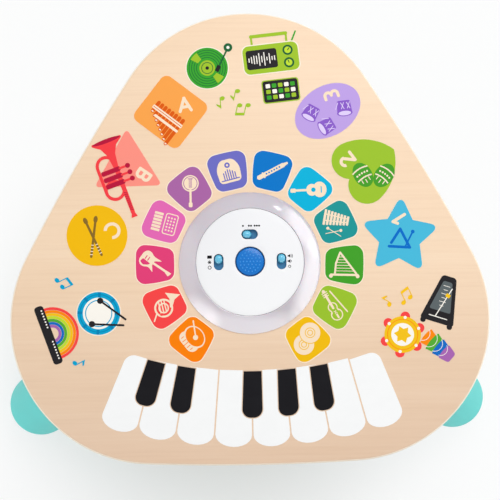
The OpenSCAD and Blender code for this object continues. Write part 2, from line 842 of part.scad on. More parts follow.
module sensor_ribbon() {
    foot = main_board_z + board_t + socket_h;
    color([0.90, 0.55, 0.20]) centred()
        translate([ribbon_x - ribbon_w / 2, main_board_y, foot])
            cube([ribbon_w, ribbon_t, panel_z - sheet_t - foot]);
}

module at_main_board() {
    translate([-main_board_x, main_board_y, main_board_z]) children();
}

module at_spacers() {
    half_x = main_board_l / 2 - spacer_inset;
    half_y = main_board_w / 2 - spacer_inset;
    for (x = [-half_x, half_x], y = [-half_y, half_y])
        translate([x - main_board_x, y + main_board_y, 0]) children();
}

module main_board() {
    color(board_green) centred() difference() {
        at_main_board() translate([-main_board_l / 2, -main_board_w / 2, 0])
            cube([main_board_l, main_board_w, board_t]);
        at_spacers() hole(screw_r, main_board_z, main_board_z + board_t + over);
    }
}

module board_spacers() {
    color("ivory") centred() at_spacers() translate([0, 0, rim_z]) difference() {
        cylinder(r = spacer_r, h = spacer_h, $fn = 32);
        hole(screw_r, 0, spacer_h + over);
    }
}

module board_screws() {
    shank = board_t + spacer_h + spacer_screw_bite;
    color(steel) centred() at_spacers() translate([0, 0, main_board_z + board_t]) mirror([0, 0, 1])
        screw(screw_r, shank, screw_head_r, screw_head_t);
}

// Sound chip under a drop of black resin, amplifier, capacitors, and the sockets for ribbon and leads
module board_parts() {
    resin_r = 9;
    resin_h = 2;
    resin_ball_r = (resin_r ^ 2 + resin_h ^ 2) / (2 * resin_h);
    amplifier = [9, 6, 1.6];
    capacitor_r = 3;
    lead_socket = [8, 6, 4.8];
    color([0.12, 0.12, 0.13]) centred() at_main_board() translate([0, 0, board_t]) {
        intersection() {
            translate([0, 0, resin_h - resin_ball_r]) sphere(r = resin_ball_r, $fn = 96);
            cylinder(r = resin_r, h = 2 * resin_h);
        }
        translate([amplifier[0] + resin_r, -2 * amplifier[1], 0]) cube(amplifier);
        for (i = [0:2]) translate([(4 + 3 * i) * capacitor_r, 2 * capacitor_r, 0])
            cylinder(r = capacitor_r, h = 2.3 * capacitor_r, $fn = 32);
        translate([ribbon_x + main_board_x - ribbon_w / 2 - 1, -socket_h / 2, 0])
            cube([ribbon_w + 2, socket_h, socket_h]);
        for (y = [-main_board_w / 2, main_board_w / 2 - lead_socket[1]])
            translate([lead_x + main_board_x - lead_socket[0] / 2, y, 0]) cube(lead_socket);
    }
}

module at_speaker() {
    translate([0, -speaker_y, 0]) children();
}

module at_grille_holes() {
    at_speaker() {
        children();
        for (ring = [1:grille_rings], i = [0:6 * ring - 1])
            rotate(i * 60 / ring) translate([ring * grille_pitch, 0, 0]) children();
    }
}

module at_speaker_screws() {
    at_speaker() for (a = [30, 150, 270])
        rotate(a) translate([speaker_r + screw_head_r - 0.8, 0, 0]) children();
}

module speaker_frame() {
    basket_h = speaker_h - magnet_h - gasket_t - speaker_flange_t;
    color([0.45, 0.46, 0.48]) centred() at_speaker() translate([0, 0, rim_z + gasket_t]) {
        difference() {
            cylinder(r = speaker_r, h = speaker_flange_t);
            hole(speaker_r - 3, 0, speaker_flange_t + over);
        }
        translate([0, 0, speaker_flange_t - eps]) difference() {
            cylinder(r1 = speaker_r - 2, r2 = magnet_r, h = basket_h + eps);
            translate([0, 0, -eps]) cylinder(r1 = speaker_r - 3, r2 = magnet_r - 1.2, h = basket_h - 0.9);
            for (a = [30:60:330])
                rotate(a) translate([magnet_r + 5, 0, 2]) cylinder(r = 3, h = basket_h, $fn = 24);
        }
        translate([-magnet_r - tab[0], -tab[1] / 2, speaker_flange_t + basket_h - tab[2]]) cube(tab);
    }
}

module speaker_cone() {
    color([0.20, 0.20, 0.21]) centred() at_speaker() translate([0, 0, rim_z + gasket_t + 0.3]) difference() {
        union() {
            cylinder(r = speaker_r - 3.4, h = 0.6);
            cylinder(r1 = speaker_r - 5, r2 = 7, h = 6);
        }
        translate([0, 0, -0.8]) cylinder(r1 = speaker_r - 5, r2 = 7, h = 6);
    }
}

module speaker_magnet() {
    color([0.30, 0.30, 0.31]) centred() at_speaker()
        translate([0, 0, rim_z + speaker_h - magnet_h]) cylinder(r = magnet_r - 0.6, h = magnet_h);
}

module speaker_gasket() {
    color([0.15, 0.15, 0.15]) centred() at_speaker() translate([0, 0, rim_z]) difference() {
        cylinder(r = speaker_r, h = gasket_t);
        hole(speaker_r - 4, 0, gasket_t + over);
    }
}

module speaker_screws() {
    color(steel) centred() at_speaker_screws()
        translate([0, 0, rim_z + gasket_t + speaker_flange_t]) mirror([0, 0, 1])
            screw(screw_r, gasket_t + speaker_flange_t + speaker_screw_bite, screw_head_r, screw_head_t);
}

// A pair of leads at one height: along X, round a quarter bend, then along Y by run_y
module lead_pair(from, to) {
    turn = to[1] > from[1] ? 1 : -1;
    for (i = [0, 1]) {
        gap = lead_apart * i;
        end_x = to[0] - gap;
        start_y = from[1] + turn * -gap;
        translate([end_x + lead_bend + gap, start_y, lead_z]) rotate([0, 90, 0])
            cylinder(r = lead_r, h = from[0] - end_x - lead_bend - gap, $fn = 16);
        translate([end_x + lead_bend + gap, start_y + turn * (lead_bend + gap), lead_z])
            rotate(turn > 0 ? 180 : 90) rotate_extrude(angle = 90, $fn = 48)
                translate([lead_bend + gap, 0]) circle(r = lead_r, $fn = 16);
        translate([end_x, start_y + turn * (lead_bend + gap), lead_z]) rotate([turn > 0 ? -90 : 90, 0, 0])
            cylinder(r = lead_r, h = abs(to[1] - start_y) - lead_bend - gap, $fn = 16);
    }
}

module battery_leads() {
    board_end = [lead_x + lead_apart / 2, main_board_y + main_board_w / 2];
    color([0.75, 0.10, 0.10]) centred() lead_pair([-box_outer_x, battery_y - 10], board_end);
}

module speaker_leads() {
    board_end = [lead_x + lead_apart / 2, main_board_y - main_board_w / 2];
    color([0.15, 0.15, 0.16]) centred() lead_pair([-magnet_r - tab[0] - eps, -speaker_y], board_end);
}

// ---- Battery compartment ----

module at_battery() {
    translate([0, centre_y + battery_y, 0]) children();
}

module at_box_screws() {
    for (x = [-1, 1], y = [-box_front_y - flange_w / 2, box_rear_y + flange_w / 2])
        translate([x * (box_outer_x + flange_w / 2 - 1), battery_y + y, 0]) children();
}

module battery_box() {
    color([0.93, 0.93, 0.92]) at_battery() difference() {
        union() {
            translate([-box_outer_x, -box_front_y, door_z])
                cube([2 * box_outer_x, box_front_y + box_rear_y, box_roof_z + box_wall - door_z]);
            translate([-box_outer_x - flange_w, -box_front_y - flange_w, door_z])
                cube([2 * (box_outer_x + flange_w), box_front_y + box_rear_y + 2 * flange_w, door_t]);
        }
        translate([-box_half_x, -box_half_y, door_z - 1])
            cube([2 * box_half_x, 2 * box_half_y, box_roof_z - door_z + 1]);
        translate([-box_half_x, -box_front_y + box_wall, door_z - 1])
            cube([2 * box_half_x, ledge_l + 1, door_t + 1]);
        translate([0, door_screw_y, 0]) hole(screw_hole_r, door_z, cover_z + 2 * door_screw_bite);
        translate([-box_outer_x - 1, hinge_y, cover_z]) rotate([0, 90, 0])
            cylinder(r = hinge_pin_r + running_gap, h = 2 * box_outer_x + 2, $fn = 32);
        translate([0, -battery_y, 0]) at_box_screws() hole(screw_r, door_z, cover_z + over);
    }
}

module battery_box_screws() {
    color(steel) centred() at_box_screws() translate([0, 0, door_z])
        screw(screw_r, door_t + box_screw_bite, screw_head_r, screw_head_t);
}

// The door hangs on a round edge with two short pins, and closes flush with the flange
module battery_door() {
    door_half = box_half_x - free_gap;
    door_front = box_front_y - box_wall - free_gap;
    rib = [2 * door_half - 8, 1.6, 2];
    color([0.93, 0.93, 0.92]) at_battery() difference() {
        union() {
            translate([-door_half, -door_front, door_z]) cube([2 * door_half, door_front + hinge_y, door_t]);
            translate([-door_half, hinge_y, cover_z]) rotate([0, 90, 0])
                cylinder(r = knuckle_r, h = 2 * door_half, $fn = 48);
            translate([-box_half_x - hinge_pin_l, hinge_y, cover_z]) rotate([0, 90, 0])
                cylinder(r = hinge_pin_r, h = 2 * (box_half_x + hinge_pin_l), $fn = 32);
            for (y = [-0.4, 0.4]) translate([-rib[0] / 2, y * box_half_y, cover_z]) cube(rib);
        }
        translate([0, door_screw_y, 0]) {
            hole(screw_r + 0.1, door_z, cover_z + over);
            hole(screw_head_r + 0.2, door_z, door_z + door_t / 2);
        }
    }
}

module battery_door_screw() {
    head = door_t / 2;
    color(steel) at_battery() translate([0, door_screw_y, door_z + head])
        screw(screw_r, door_t - head + door_screw_bite, screw_head_r, head);
}

module battery_cell(place) {
    nipple = [2.6, 1];
    color([0.20, 0.22, 0.25]) at_battery() translate([(place - 1) * cell_pitch, 0, cell_z])
        rotate([place == 1 ? 90 : -90, 0, 0]) {
            translate([0, 0, -cell_l / 2]) cylinder(d = cell_d, h = cell_l - nipple[1], $fn = 48);
            translate([0, 0, cell_l / 2 - nipple[1] - eps])
                cylinder(r = nipple[0], h = nipple[1] + eps, $fn = 32);
        }
}

// At each end of a cell a plate on the wall; a short coil spring fills the room to the cell
module battery_contacts() {
    plate = [10, 0.4, 9];
    wire = 0.45;
    turns = 4;
    coil_r = 4;
    turn_step = (contact_room - plate[1] - 2 * wire) / (turns - 1);
    color(steel) at_battery() for (place = [0:2], end = [-1, 1])
        translate([(place - 1) * cell_pitch, end * box_half_y, cell_z]) {
            translate([-plate[0] / 2, end > 0 ? -plate[1] : 0, -plate[2] / 2]) cube(plate);
            translate([0, -end * plate[1], 0]) rotate([end * 90, 0, 0]) rotate_extrude($fn = 32)
                for (i = [0:turns - 1]) translate([coil_r - wire * i, wire + i * turn_step])
                    circle(r = wire, $fn = 16);
        }
}

// ---- Printed films ----

// Runs its children at a direction of the keyboard's fan; -Y points from the fan's middle to a key's front
module at_key(step) {
    translate([0, fan_r - key_reach]) rotate(step * key_pitch) children();
}

module white_key(left_back, right_back) {
    front = fan_r + key_l;
    back_half = fan_r * sin(key_pitch / 2) - key_gap / 2;
    front_half = front * sin(key_pitch / 2) - key_gap / 2;
    rounded_polygon([[-back_half, -fan_r], [-front_half, -front], [front_half, -front], [back_half, -fan_r]],
        [left_back, white_corner, white_corner, right_back]);
}

module black_key(grow) {
    back_half = black_w / 2 + grow - 0.6;
    front_half = black_w / 2 + grow + 0.4;
    back = -fan_r + grow + 1;
    front = -fan_r - black_l - grow;
    round_r = 0.9 * back_half;
    rounded_polygon([[-back_half, back], [-front_half, front], [front_half, front], [back_half, back]],
        [back_corner, round_r, round_r, back_corner]);
}

module white_keys() {
    color("white") on_top() linear_extrude(print_t) difference() {
        for (i = [0:white_count - 1]) at_key(i - (white_count - 1) / 2)
            white_key(i == 0 ? white_corner : back_corner, i == white_count - 1 ? white_corner : back_corner);
        for (step = black_steps) at_key(step) black_key(key_gap);
    }
}

module black_keys() {
    color([0.12, 0.11, 0.12]) on_top() linear_extrude(print_t)
        for (step = black_steps) at_key(step) black_key(0);
}

// A rounded tile that is wider at its outer edge; +Y points away from the dome
module tile() {
    out_half = tile_w / 2;
    in_half = out_half * tile_in / tile_out + 1;
    rounded_polygon([[-in_half, tile_in], [in_half, tile_in], [out_half, tile_out], [-out_half, tile_out]],
        [tile_in_round, tile_in_round, tile_out_round, tile_out_round]);
}

module tile_prints() {
    on_top() for (i = [0:tile_count - 1])
        rotate(-tile_half_turn - (i < 6 ? i * tile_pitch : 360 - 2 * tile_half_turn - (11 - i) * tile_pitch))
            color(tile_colors[i]) linear_extrude(print_t) tile();
}

module at_shape(place) {
    translate([place[0], place[1]]) rotate(place[2]) children();
}

module heart() {
    apart = heart_lobe * 0.8;
    tip = heart_lobe * 2.3;
    reach = norm([apart, tip]);
    lean = atan(apart / tip) + asin(heart_lobe / reach);
    touch = heart_lobe * [cos(lean), sin(lean)];
    for (side = [-1, 1]) translate([side * apart, 0]) circle(r = heart_lobe);
    polygon([[0, tip], [-apart - touch[0], touch[1]], [-apart, 0], [apart, 0], [apart + touch[0], touch[1]]]);
}

module star() {
    notch_r = star_r * 0.507;
    reach = [for (i = [0:9]) i % 2 == 0 ? star_r : notch_r];
    rounded_polygon([for (i = [0:9]) reach[i] * [cos(90 + 36 * i), sin(90 + 36 * i)]],
        [for (i = [0:9]) i % 2 == 0 ? star_round : 0]);
}

module shape_prints() {
    on_top() {
        color([0.98, 0.65, 0.30]) linear_extrude(print_t) at_shape(square_place)
            rounded_polygon([for (a = [45:90:315]) square_side / sqrt(2) * [cos(a), sin(a)]],
                square_round * [1, 1, 1, 1]);
        color([1.00, 0.57, 0.51]) linear_extrude(print_t) at_shape(triangle_place)
            rounded_polygon([for (a = [90:120:330]) triangle_side / sqrt(3) * [cos(a), sin(a)]],
                triangle_round * [1, 1, 1]);
        color([0.97, 0.74, 0.04]) linear_extrude(print_t) at_shape(circle_place) circle(r = circle_r);
        color([0.75, 0.63, 0.90]) linear_extrude(print_t) at_shape(oval_place)
            polygon([for (a = [0:6:354]) [oval_half_l * cos(a), oval_half_w * sin(a)]]);
        color([0.61, 0.77, 0.18]) linear_extrude(print_t) at_shape(heart_place) heart();
        color([0.28, 0.73, 0.86]) linear_extrude(print_t) at_shape(star_place) star();
    }
}

top_panel();
rim_frame();
bottom_cover();
leg_block(corner_angles[0]);  // leg_block_front_left
leg_block(corner_angles[1]);  // leg_block_front_right
leg_block(corner_angles[2]);  // leg_block_rear
leg(corner_angles[0]);  // leg_front_left
leg(corner_angles[1]);  // leg_front_right
leg(corner_angles[2]);  // leg_rear
leg_studs();
thread_inserts();
block_screws();
foot_pad(corner_angles[0]);  // foot_pad_front_left
foot_pad(corner_angles[1]);  // foot_pad_front_right
foot_pad(corner_angles[2]);  // foot_pad_rear
cover_screws();
light_ring();
control_cap();
centre_button();
button_rubber();
slider_knob(0);  // language_knob
slider_knob(1);  // mode_knob
slider_knob(2);  // volume_knob
slider_carriage(0);  // language_carriage
slider_carriage(1);  // mode_carriage
slider_carriage(2);  // volume_carriage
slider_lever(0);  // language_lever
slider_lever(1);  // mode_lever
slider_lever(2);  // volume_lever
slide_switches();
control_board();
ring_leds();
hub_tray();
hub_screws();
cap_screws();
touch_sheet();
sensor_ribbon();
main_board();
board_parts();
board_spacers();
board_screws();
speaker_frame();
speaker_cone();
speaker_magnet();
speaker_gasket();
speaker_screws();
battery_box();
battery_contacts();
battery_cell(0);  // battery_1
battery_cell(1);  // battery_2
battery_cell(2);  // battery_3
battery_door();
battery_door_screw();
battery_box_screws();
battery_leads();
speaker_leads();
white_keys();
black_keys();
tile_prints();
shape_prints();
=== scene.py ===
# %% [markdown]
# # A musical activity table
# This lesson dresses a toddler's activity table: a rounded birch top on three turquoise legs, with a
# milky dome in the middle and touch keys, tiles and shapes printed round it. The construction comes as
# a fixed frame, solids already in place at their real size. The lesson adds what the eye sees.
# +Z is up, the child at the keyboard sits towards -Y, and finished pieces are in metres.

# %% Load the frame
import json
import math

import bmesh
import bpy
from mathutils import Matrix, Vector

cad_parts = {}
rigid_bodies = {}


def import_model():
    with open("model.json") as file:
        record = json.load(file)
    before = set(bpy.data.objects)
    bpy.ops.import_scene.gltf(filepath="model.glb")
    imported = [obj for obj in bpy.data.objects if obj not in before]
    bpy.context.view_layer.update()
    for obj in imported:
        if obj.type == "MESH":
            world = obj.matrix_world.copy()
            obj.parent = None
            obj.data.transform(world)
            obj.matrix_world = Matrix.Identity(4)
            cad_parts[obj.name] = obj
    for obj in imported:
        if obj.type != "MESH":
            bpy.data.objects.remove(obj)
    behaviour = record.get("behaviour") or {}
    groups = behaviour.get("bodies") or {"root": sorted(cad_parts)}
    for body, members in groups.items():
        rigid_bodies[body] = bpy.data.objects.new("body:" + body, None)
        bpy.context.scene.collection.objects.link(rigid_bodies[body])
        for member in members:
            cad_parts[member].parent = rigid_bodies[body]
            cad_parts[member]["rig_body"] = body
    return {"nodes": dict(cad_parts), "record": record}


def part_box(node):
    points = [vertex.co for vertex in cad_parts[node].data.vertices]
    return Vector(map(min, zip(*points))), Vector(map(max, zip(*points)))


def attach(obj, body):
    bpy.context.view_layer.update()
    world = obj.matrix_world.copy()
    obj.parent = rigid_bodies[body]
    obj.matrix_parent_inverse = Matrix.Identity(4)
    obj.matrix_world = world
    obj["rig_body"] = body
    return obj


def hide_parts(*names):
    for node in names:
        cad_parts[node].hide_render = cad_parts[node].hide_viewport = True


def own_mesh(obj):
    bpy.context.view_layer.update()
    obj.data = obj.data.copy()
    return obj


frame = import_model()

scene = bpy.context.scene
nodes = frame["nodes"]
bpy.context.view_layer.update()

# %% [markdown]
# Everything printed on the tabletop is easiest to draw in millimetres round the middle of the dome, at
# the height of the wood. One matrix carries such a drawing to its place, and its inverse brings a point
# of the frame back to the drawing.

# %% Where the tabletop is
ring_low, ring_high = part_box("light_ring")
panel_low, panel_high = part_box("top_panel")
dome_middle = (ring_low + ring_high) / 2
MM = 0.001
TABLETOP = Matrix.Translation((dome_middle.x, dome_middle.y, panel_high.z)) @ Matrix.Scale(MM, 4)
table_h = panel_high.z / MM


def direction(angle, length=1.0):
    """An arrow of that length in the plane of the tabletop"""
    return Vector((math.cos(angle), math.sin(angle), 0)) * length


print("tabletop at", round(table_h, 1), "mm, dome middle at y", round(dome_middle.y / MM, 1), "mm")

# %% [markdown]
# ## The camera
# The table is looked at from straight above, from a little towards the child's side. The camera is far
# away with a long lens, so the tabletop keeps its true outline. A tilt of a few degrees, a slight step
# to the left and a slight roll of the camera are all it takes. Its place is given in the millimetres of
# the tabletop, and so is the width that the picture shows at the height of the wood.

# %% Camera
CAMERA_AIM = Vector((0.4, 12.4, 0))
CAMERA_DISTANCE = 1330
PICTURE_WIDTH = 479.8
CAMERA_TILT = math.radians(4.7)
CAMERA_STEP = math.radians(-1.1)
CAMERA_ROLL = math.radians(-1.0)
camera_data = bpy.data.cameras.new("camera")
camera_data.sensor_width = 36
camera_data.lens = camera_data.sensor_width * CAMERA_DISTANCE / PICTURE_WIDTH
camera = bpy.data.objects.new("camera", camera_data)
scene.collection.objects.link(camera)
camera_turn = (Matrix.Rotation(CAMERA_STEP, 4, "Y") @ Matrix.Rotation(CAMERA_TILT, 4, "X")
               @ Matrix.Rotation(CAMERA_ROLL, 4, "Z"))
camera_place = CAMERA_AIM + CAMERA_DISTANCE * (camera_turn.to_3x3() @ Vector((0, 0, 1)))
camera.matrix_world = Matrix.Translation(TABLETOP @ camera_place) @ camera_turn
scene.camera = camera
print("camera at", [round(c, 3) for c in camera.matrix_world.translation])

# %% [markdown]
# ## Light
# A plain studio: an even white surround gives every colour its own value, and large soft lamps behind
# and in front of the table soften its shadow. Two low lamps reach the legs. The oval lamps round the
# dome only shine: they draw the highlights on its glossy ring and light nothing else. Light could also
# come from an image of a studio, but then no lamp could be moved.
#
# The surround and the finishes are trees of nodes, so one helper adds a node to the tree of whatever
# owns it, the world or a material. The camera, gloss and glass see plain white behind the table, and
# everything else is lit by the surround.

# %% Helpers for nodes
WHITE = (1, 1, 1, 1)


def add_node(owner, kind, settings=(), values=(), inputs=()):
    """A node with its settings, its constant values and what is linked in, by a socket's name or number"""
    node = owner.node_tree.nodes.new("ShaderNode" + kind)
    for name, value in dict(settings).items():
        setattr(node, name, value)
    for socket, value in dict(values).items():
        node.inputs[socket].default_value = value
    for socket, output in dict(inputs).items():
        owner.node_tree.links.new(output, node.inputs[socket])
    return node


def seen_rays(owner):
    """1 on the rays that see a white background: the camera's own, and those of gloss and of glass"""
    paths = add_node(owner, "LightPath")
    seen = paths.outputs["Is Camera Ray"]
    for kind in ("Is Glossy Ray", "Is Transmission Ray"):
        either = add_node(owner, "Math", {"operation": "MAXIMUM"}, inputs={0: seen, 1: paths.outputs[kind]})
        seen = either.outputs[0]
    return seen


def show(owner, output):
    """Makes an output the surface that its owner shows"""
    last = next(node for node in owner.node_tree.nodes if node.name.endswith("Output"))
    owner.node_tree.links.new(output, last.inputs["Surface"])


print("helpers for nodes: add_node, seen_rays and show")

# %% Surround
SURROUND_COLOR = (0.97, 0.985, 1, 1)
SURROUND_LEVEL = 0.6
scene.view_settings.view_transform = "Standard"
world = bpy.data.worlds.new("surround")
scene.world = world
world.use_nodes = True
surround = world.node_tree.nodes["Background"]
surround.inputs["Color"].default_value = SURROUND_COLOR
surround.inputs["Strength"].default_value = SURROUND_LEVEL
white_back = add_node(world, "Background", values={"Color": WHITE, "Strength": 1})
sides = {1: surround.outputs[0], 2: white_back.outputs[0]}
show(world, add_node(world, "MixShader", inputs={"Fac": seen_rays(world), **sides}).outputs[0])
print("surround of strength", SURROUND_LEVEL)

# %% Lamps
AIM_HEIGHT = 8
SHINE_SHARES = (1.2, 1.0, 0.8)
SHINE_STEP = 0.02


def add_lamp(name, place, aim, width, height, watts, only_shine=False):
    """A lamp with its size in metres; an only_shine lamp shows in highlights and lights nothing"""
    data = bpy.data.lights.new(name, "AREA")
    data.shape = "RECTANGLE"
    data.size = width
    data.size_y = height
    data.energy = watts
    lamp = bpy.data.objects.new(name, data)
    scene.collection.objects.link(lamp)
    facing = (Vector(place) - Vector(aim)).to_track_quat("Z", "Y")
    lamp.matrix_world = Matrix.Translation(place) @ facing.to_matrix().to_4x4()
    lamp.visible_diffuse = not only_shine
    lamp.visible_camera = False
    return lamp


dome_aim = TABLETOP @ Vector((0, 0, AIM_HEIGHT))
add_lamp("back_lamp", (0.4, 0.9, 1.9), dome_aim, 1.2, 0.8, 16)
add_lamp("front_lamp", (-0.1, -1.3, 1.5), dome_aim, 1.2, 0.8, 2.5)
for side in (-1, 1):
    add_lamp("leg_lamp", (0.95 * side, -0.5, 0.1), (0.24 * side, -0.2, 0.15), 0.5, 0.2, 1.4)


def add_shine(name, azimuth, width, low, high, watts):
    """Ovals a metre from the dome that only shine, the smaller ones behind, so that the edge is soft"""
    spot = direction(math.radians(azimuth))
    spot.z = (low + high) / 2
    for step, share in enumerate(SHINE_SHARES):
        lamp = add_lamp(name, dome_aim + spot * (1 + SHINE_STEP * step), dome_aim, width * share,
                        (high - low) * share, watts * share ** 2 / len(SHINE_SHARES), True)
        lamp.data.shape = "ELLIPSE"


add_shine("right_shine", -14, 1.3, -0.26, 0.36, 5.6)
add_shine("left_shine", -136, 0.6, -0.24, 0.34, 1.55)
add_shine("front_shine", -95, 2.1, -0.26, 0.44, 7.0)
add_shine("corner_shine", 34, 0.8, -0.26, 0.36, 3.2)
add_shine("side_shine", 180, 1.4, -0.3, 0.45, 1.9)
add_shine("spark", 63, 0.13, 0.11, 0.16, 0.12)

# %% [markdown]
# ## Finishes
# A finish is one Principled shader whose colour, roughness and relief vary a little, as on any real
# surface. Values that are the same everywhere sit on the shader's own sockets. Small helpers make a
# texture on Object coordinates, turn it into a colour with a ramp, a mix or a fade along an axis, and
# plug it in as the colour, the relief or the sheen.

# %% A finish and its shader
def linear(rgb):
    """A colour as seen on screen, 0 to 255, in the linear values that a shader takes"""
    shares = [value / 255 for value in rgb]
    return [s / 12.92 if s < 0.04045 else ((s + 0.055) / 1.055) ** 2.4 for s in shares]


def new_finish(name, rgb, roughness, **sockets):
    """A Principled material; further sockets are named with _ for each blank"""
    finish = bpy.data.materials.new(name)
    finish.use_nodes = True
    shader = finish.node_tree.nodes["Principled BSDF"]
    shader.inputs["Base Color"].default_value = (*linear(rgb), 1)
    shader.inputs["Roughness"].default_value = roughness
    for socket, value in sockets.items():
        shader.inputs[socket.replace("_", " ")].default_value = value
    return finish


def plug(finish, socket, output):
    """Links an output into the finish's own shader"""
    finish.node_tree.links.new(output, finish.node_tree.nodes["Principled BSDF"].inputs[socket])


print("on screen 128 is", round(linear([128])[0], 3), "to a shader")


# %% Textures and colours
def texture(finish, kind, stretch=(1, 1, 1), settings=(), output="Fac", **values):
    """A texture on Object coordinates, counted in features per metre along X, Y and Z"""
    where = add_node(finish, "TexCoord").outputs["Object"]
    mapping = add_node(finish, "Mapping", values={"Scale": stretch}, inputs={"Vector": where})
    values = {name.replace("_", " "): value for name, value in values.items()}
    made = add_node(finish, kind, settings, values, {"Vector": mapping.outputs[0]})
    return made.outputs[output]


def noise(finish, stretch=(1, 1, 1), detail=3.0, scale=1.0, roughness=0.5):
    """Noise, the texture of nearly every finish"""
    return texture(finish, "TexNoise", stretch, Scale=scale, Detail=detail, Roughness=roughness)


def ramp(finish, factor, *stops, interpolation="LINEAR"):
    """A colour ramp; each stop is a place from 0 to 1 and an on-screen colour"""
    node = add_node(finish, "ValToRGB", inputs={"Fac": factor})
    node.color_ramp.interpolation = interpolation
    while len(node.color_ramp.elements) < len(stops):
        node.color_ramp.elements.new(0.5)
    for element, (place, rgb) in zip(node.color_ramp.elements, stops):
        element.position = place
        element.color = (*linear(rgb), 1)
    return node.outputs["Color"]


def mix(finish, factor, first, second, blend="MIX"):
    """Two colours mixed; on this node socket 0 is the factor, and 6, 7 and output 2 are the colours"""
    node = add_node(finish, "Mix", {"data_type": "RGBA", "blend_type": blend})
    for socket, value in ((0, factor), (6, first), (7, second)):
        if isinstance(value, bpy.types.NodeSocket):
            finish.node_tree.links.new(value, node.inputs[socket])
        else:
            node.inputs[socket].default_value = value
    return node.outputs[2]


def along(finish, axis, low, high):
    """What grows from 0 to 1 between two places on an axis of the object"""
    where = add_node(finish, "TexCoord")
    axes = add_node(finish, "SeparateXYZ", inputs={"Vector": where.outputs["Object"]})
    share = add_node(finish, "MapRange", values={"From Min": low, "From Max": high},
                     inputs={"Value": axes.outputs[axis]})
    return share.outputs[0]


def fade(finish, axis, low, high, low_rgb, high_rgb):
    """A colour that fades from one to another between two places on an axis of the object"""
    return ramp(finish, along(finish, axis, low, high), (0, low_rgb), (1, high_rgb))


print("helpers for colour: texture, noise, ramp, mix, along and fade")


# %% Relief and sheen
def relief(finish, height, distance, below=None):
    """Bumps of that distance in metres; below is a relief that this one lies on"""
    links = {"Height": height, "Normal": below} if below else {"Height": height}
    node = add_node(finish, "Bump", values={"Distance": distance}, inputs=links)
    plug(finish, "Normal", node.outputs[0])
    return node.outputs[0]


def sheen(finish, factor, low, high):
    """Roughness that wanders from low to high"""
    node = add_node(finish, "MapRange", values={"To Min": low, "To Max": high}, inputs={"Value": factor})
    plug(finish, "Roughness", node.outputs[0])


print("helpers for the surface: relief and sheen")

# %% [markdown]
# The birch has fine straight grain along X: noise that is stretched until it is nearly forty times
# longer than wide, over broader pale bands. Towards the child the wood is painted a shade darker and
# warmer, a painted shade. On the panel's edge the plies show, five bands that alternate between long
# grain and darker end grain. Height picks the ply, so the top keeps its face grain.

# %% Birch plywood
def plywood(name, low_z, high_z, plies):
    """Birch with its plies between two heights, where every second ply is end grain"""
    finish = new_finish(name, (246, 218, 189), 0.5, Coat_Weight=0.12, Coat_Roughness=0.35)
    bands = noise(finish, (1.6, 14, 14), roughness=0.6)
    fibres = noise(finish, (9, 330, 330), 5.0, roughness=0.62)
    broad = ramp(finish, bands, (0.3, (242, 212, 182)), (0.52, (247, 218, 190)), (0.75, (250, 224, 198)))
    fine = ramp(finish, fibres, (0.28, (237, 207, 178)), (0.5, (247, 219, 191)), (0.8, (252, 229, 205)))
    face = mix(finish, 0.45, broad, fine)
    across = noise(finish, (260, 260, 900))
    end = ramp(finish, across, (0.3, (196, 150, 108)), (0.7, (222, 182, 140)))
    # painted shade: the wood is painted darker and warmer towards the child, where less light falls
    painted_front_shade = fade(finish, "Y", panel_low.y, dome_middle.y, (236, 229, 224), (251, 248, 241))
    face = mix(finish, 1.0, face, painted_front_shade, "MULTIPLY")
    stops = [(ply / plies, (255, 255, 255) if ply % 2 else (0, 0, 0)) for ply in range(plies)]
    is_end = ramp(finish, along(finish, "Z", low_z, high_z), *stops, interpolation="CONSTANT")
    plug(finish, "Base Color", mix(finish, is_end, face, end))
    relief(finish, fibres, 0.00012)
    sheen(finish, fibres, 0.42, 0.6)
    return finish


birch = plywood("birch_plywood", panel_low.z, panel_high.z, 5)
cover_low, cover_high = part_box("bottom_cover")
birch_cover = plywood("birch_cover", cover_low.z, cover_high.z, 3)
print("wood:", birch.name, birch_cover.name)

# %% [markdown]
# Beech, for the rim and the leg blocks, is a warmer wood with short dark flecks. Paint on turned wood is
# nearly smooth, with a faint orange-peel relief and the ghost of the grain below it.

# %% Beech and leg paint
def beech_wood():
    """Broad warm bands with short dark flecks"""
    finish = new_finish("beech_wood", (228, 188, 148), 0.5)
    bands = noise(finish, (10, 10, 60))
    flecks = texture(finish, "TexVoronoi", (120, 120, 900), output="Distance", Scale=1.0)
    ground = ramp(finish, bands, (0.3, (219, 176, 134)), (0.7, (235, 199, 160)))
    fleck = ramp(finish, flecks, (0.1, (190, 140, 100)), (0.32, (255, 255, 255)))
    plug(finish, "Base Color", mix(finish, 0.55, ground, fleck, "MULTIPLY"))
    relief(finish, flecks, 0.0001)
    sheen(finish, bands, 0.42, 0.6)
    return finish


def leg_paint():
    """Satin paint: orange peel over the ghost of the grain"""
    finish = new_finish("turquoise_paint", (84, 207, 201), 0.42, Specular_IOR_Level=0.1)
    cloud = noise(finish, (18, 18, 6), 2.0)
    peel = noise(finish, detail=2.0, scale=900.0)
    grain = noise(finish, (260, 260, 12))
    plug(finish, "Base Color", ramp(finish, cloud, (0.3, (74, 204, 198)), (0.7, (86, 210, 204))))
    relief(finish, grain, 0.0001, relief(finish, peel, 0.00004))
    sheen(finish, cloud, 0.36, 0.5)
    return finish


beech = beech_wood()
turquoise = leg_paint()
print("wood and paint:", beech.name, turquoise.name)
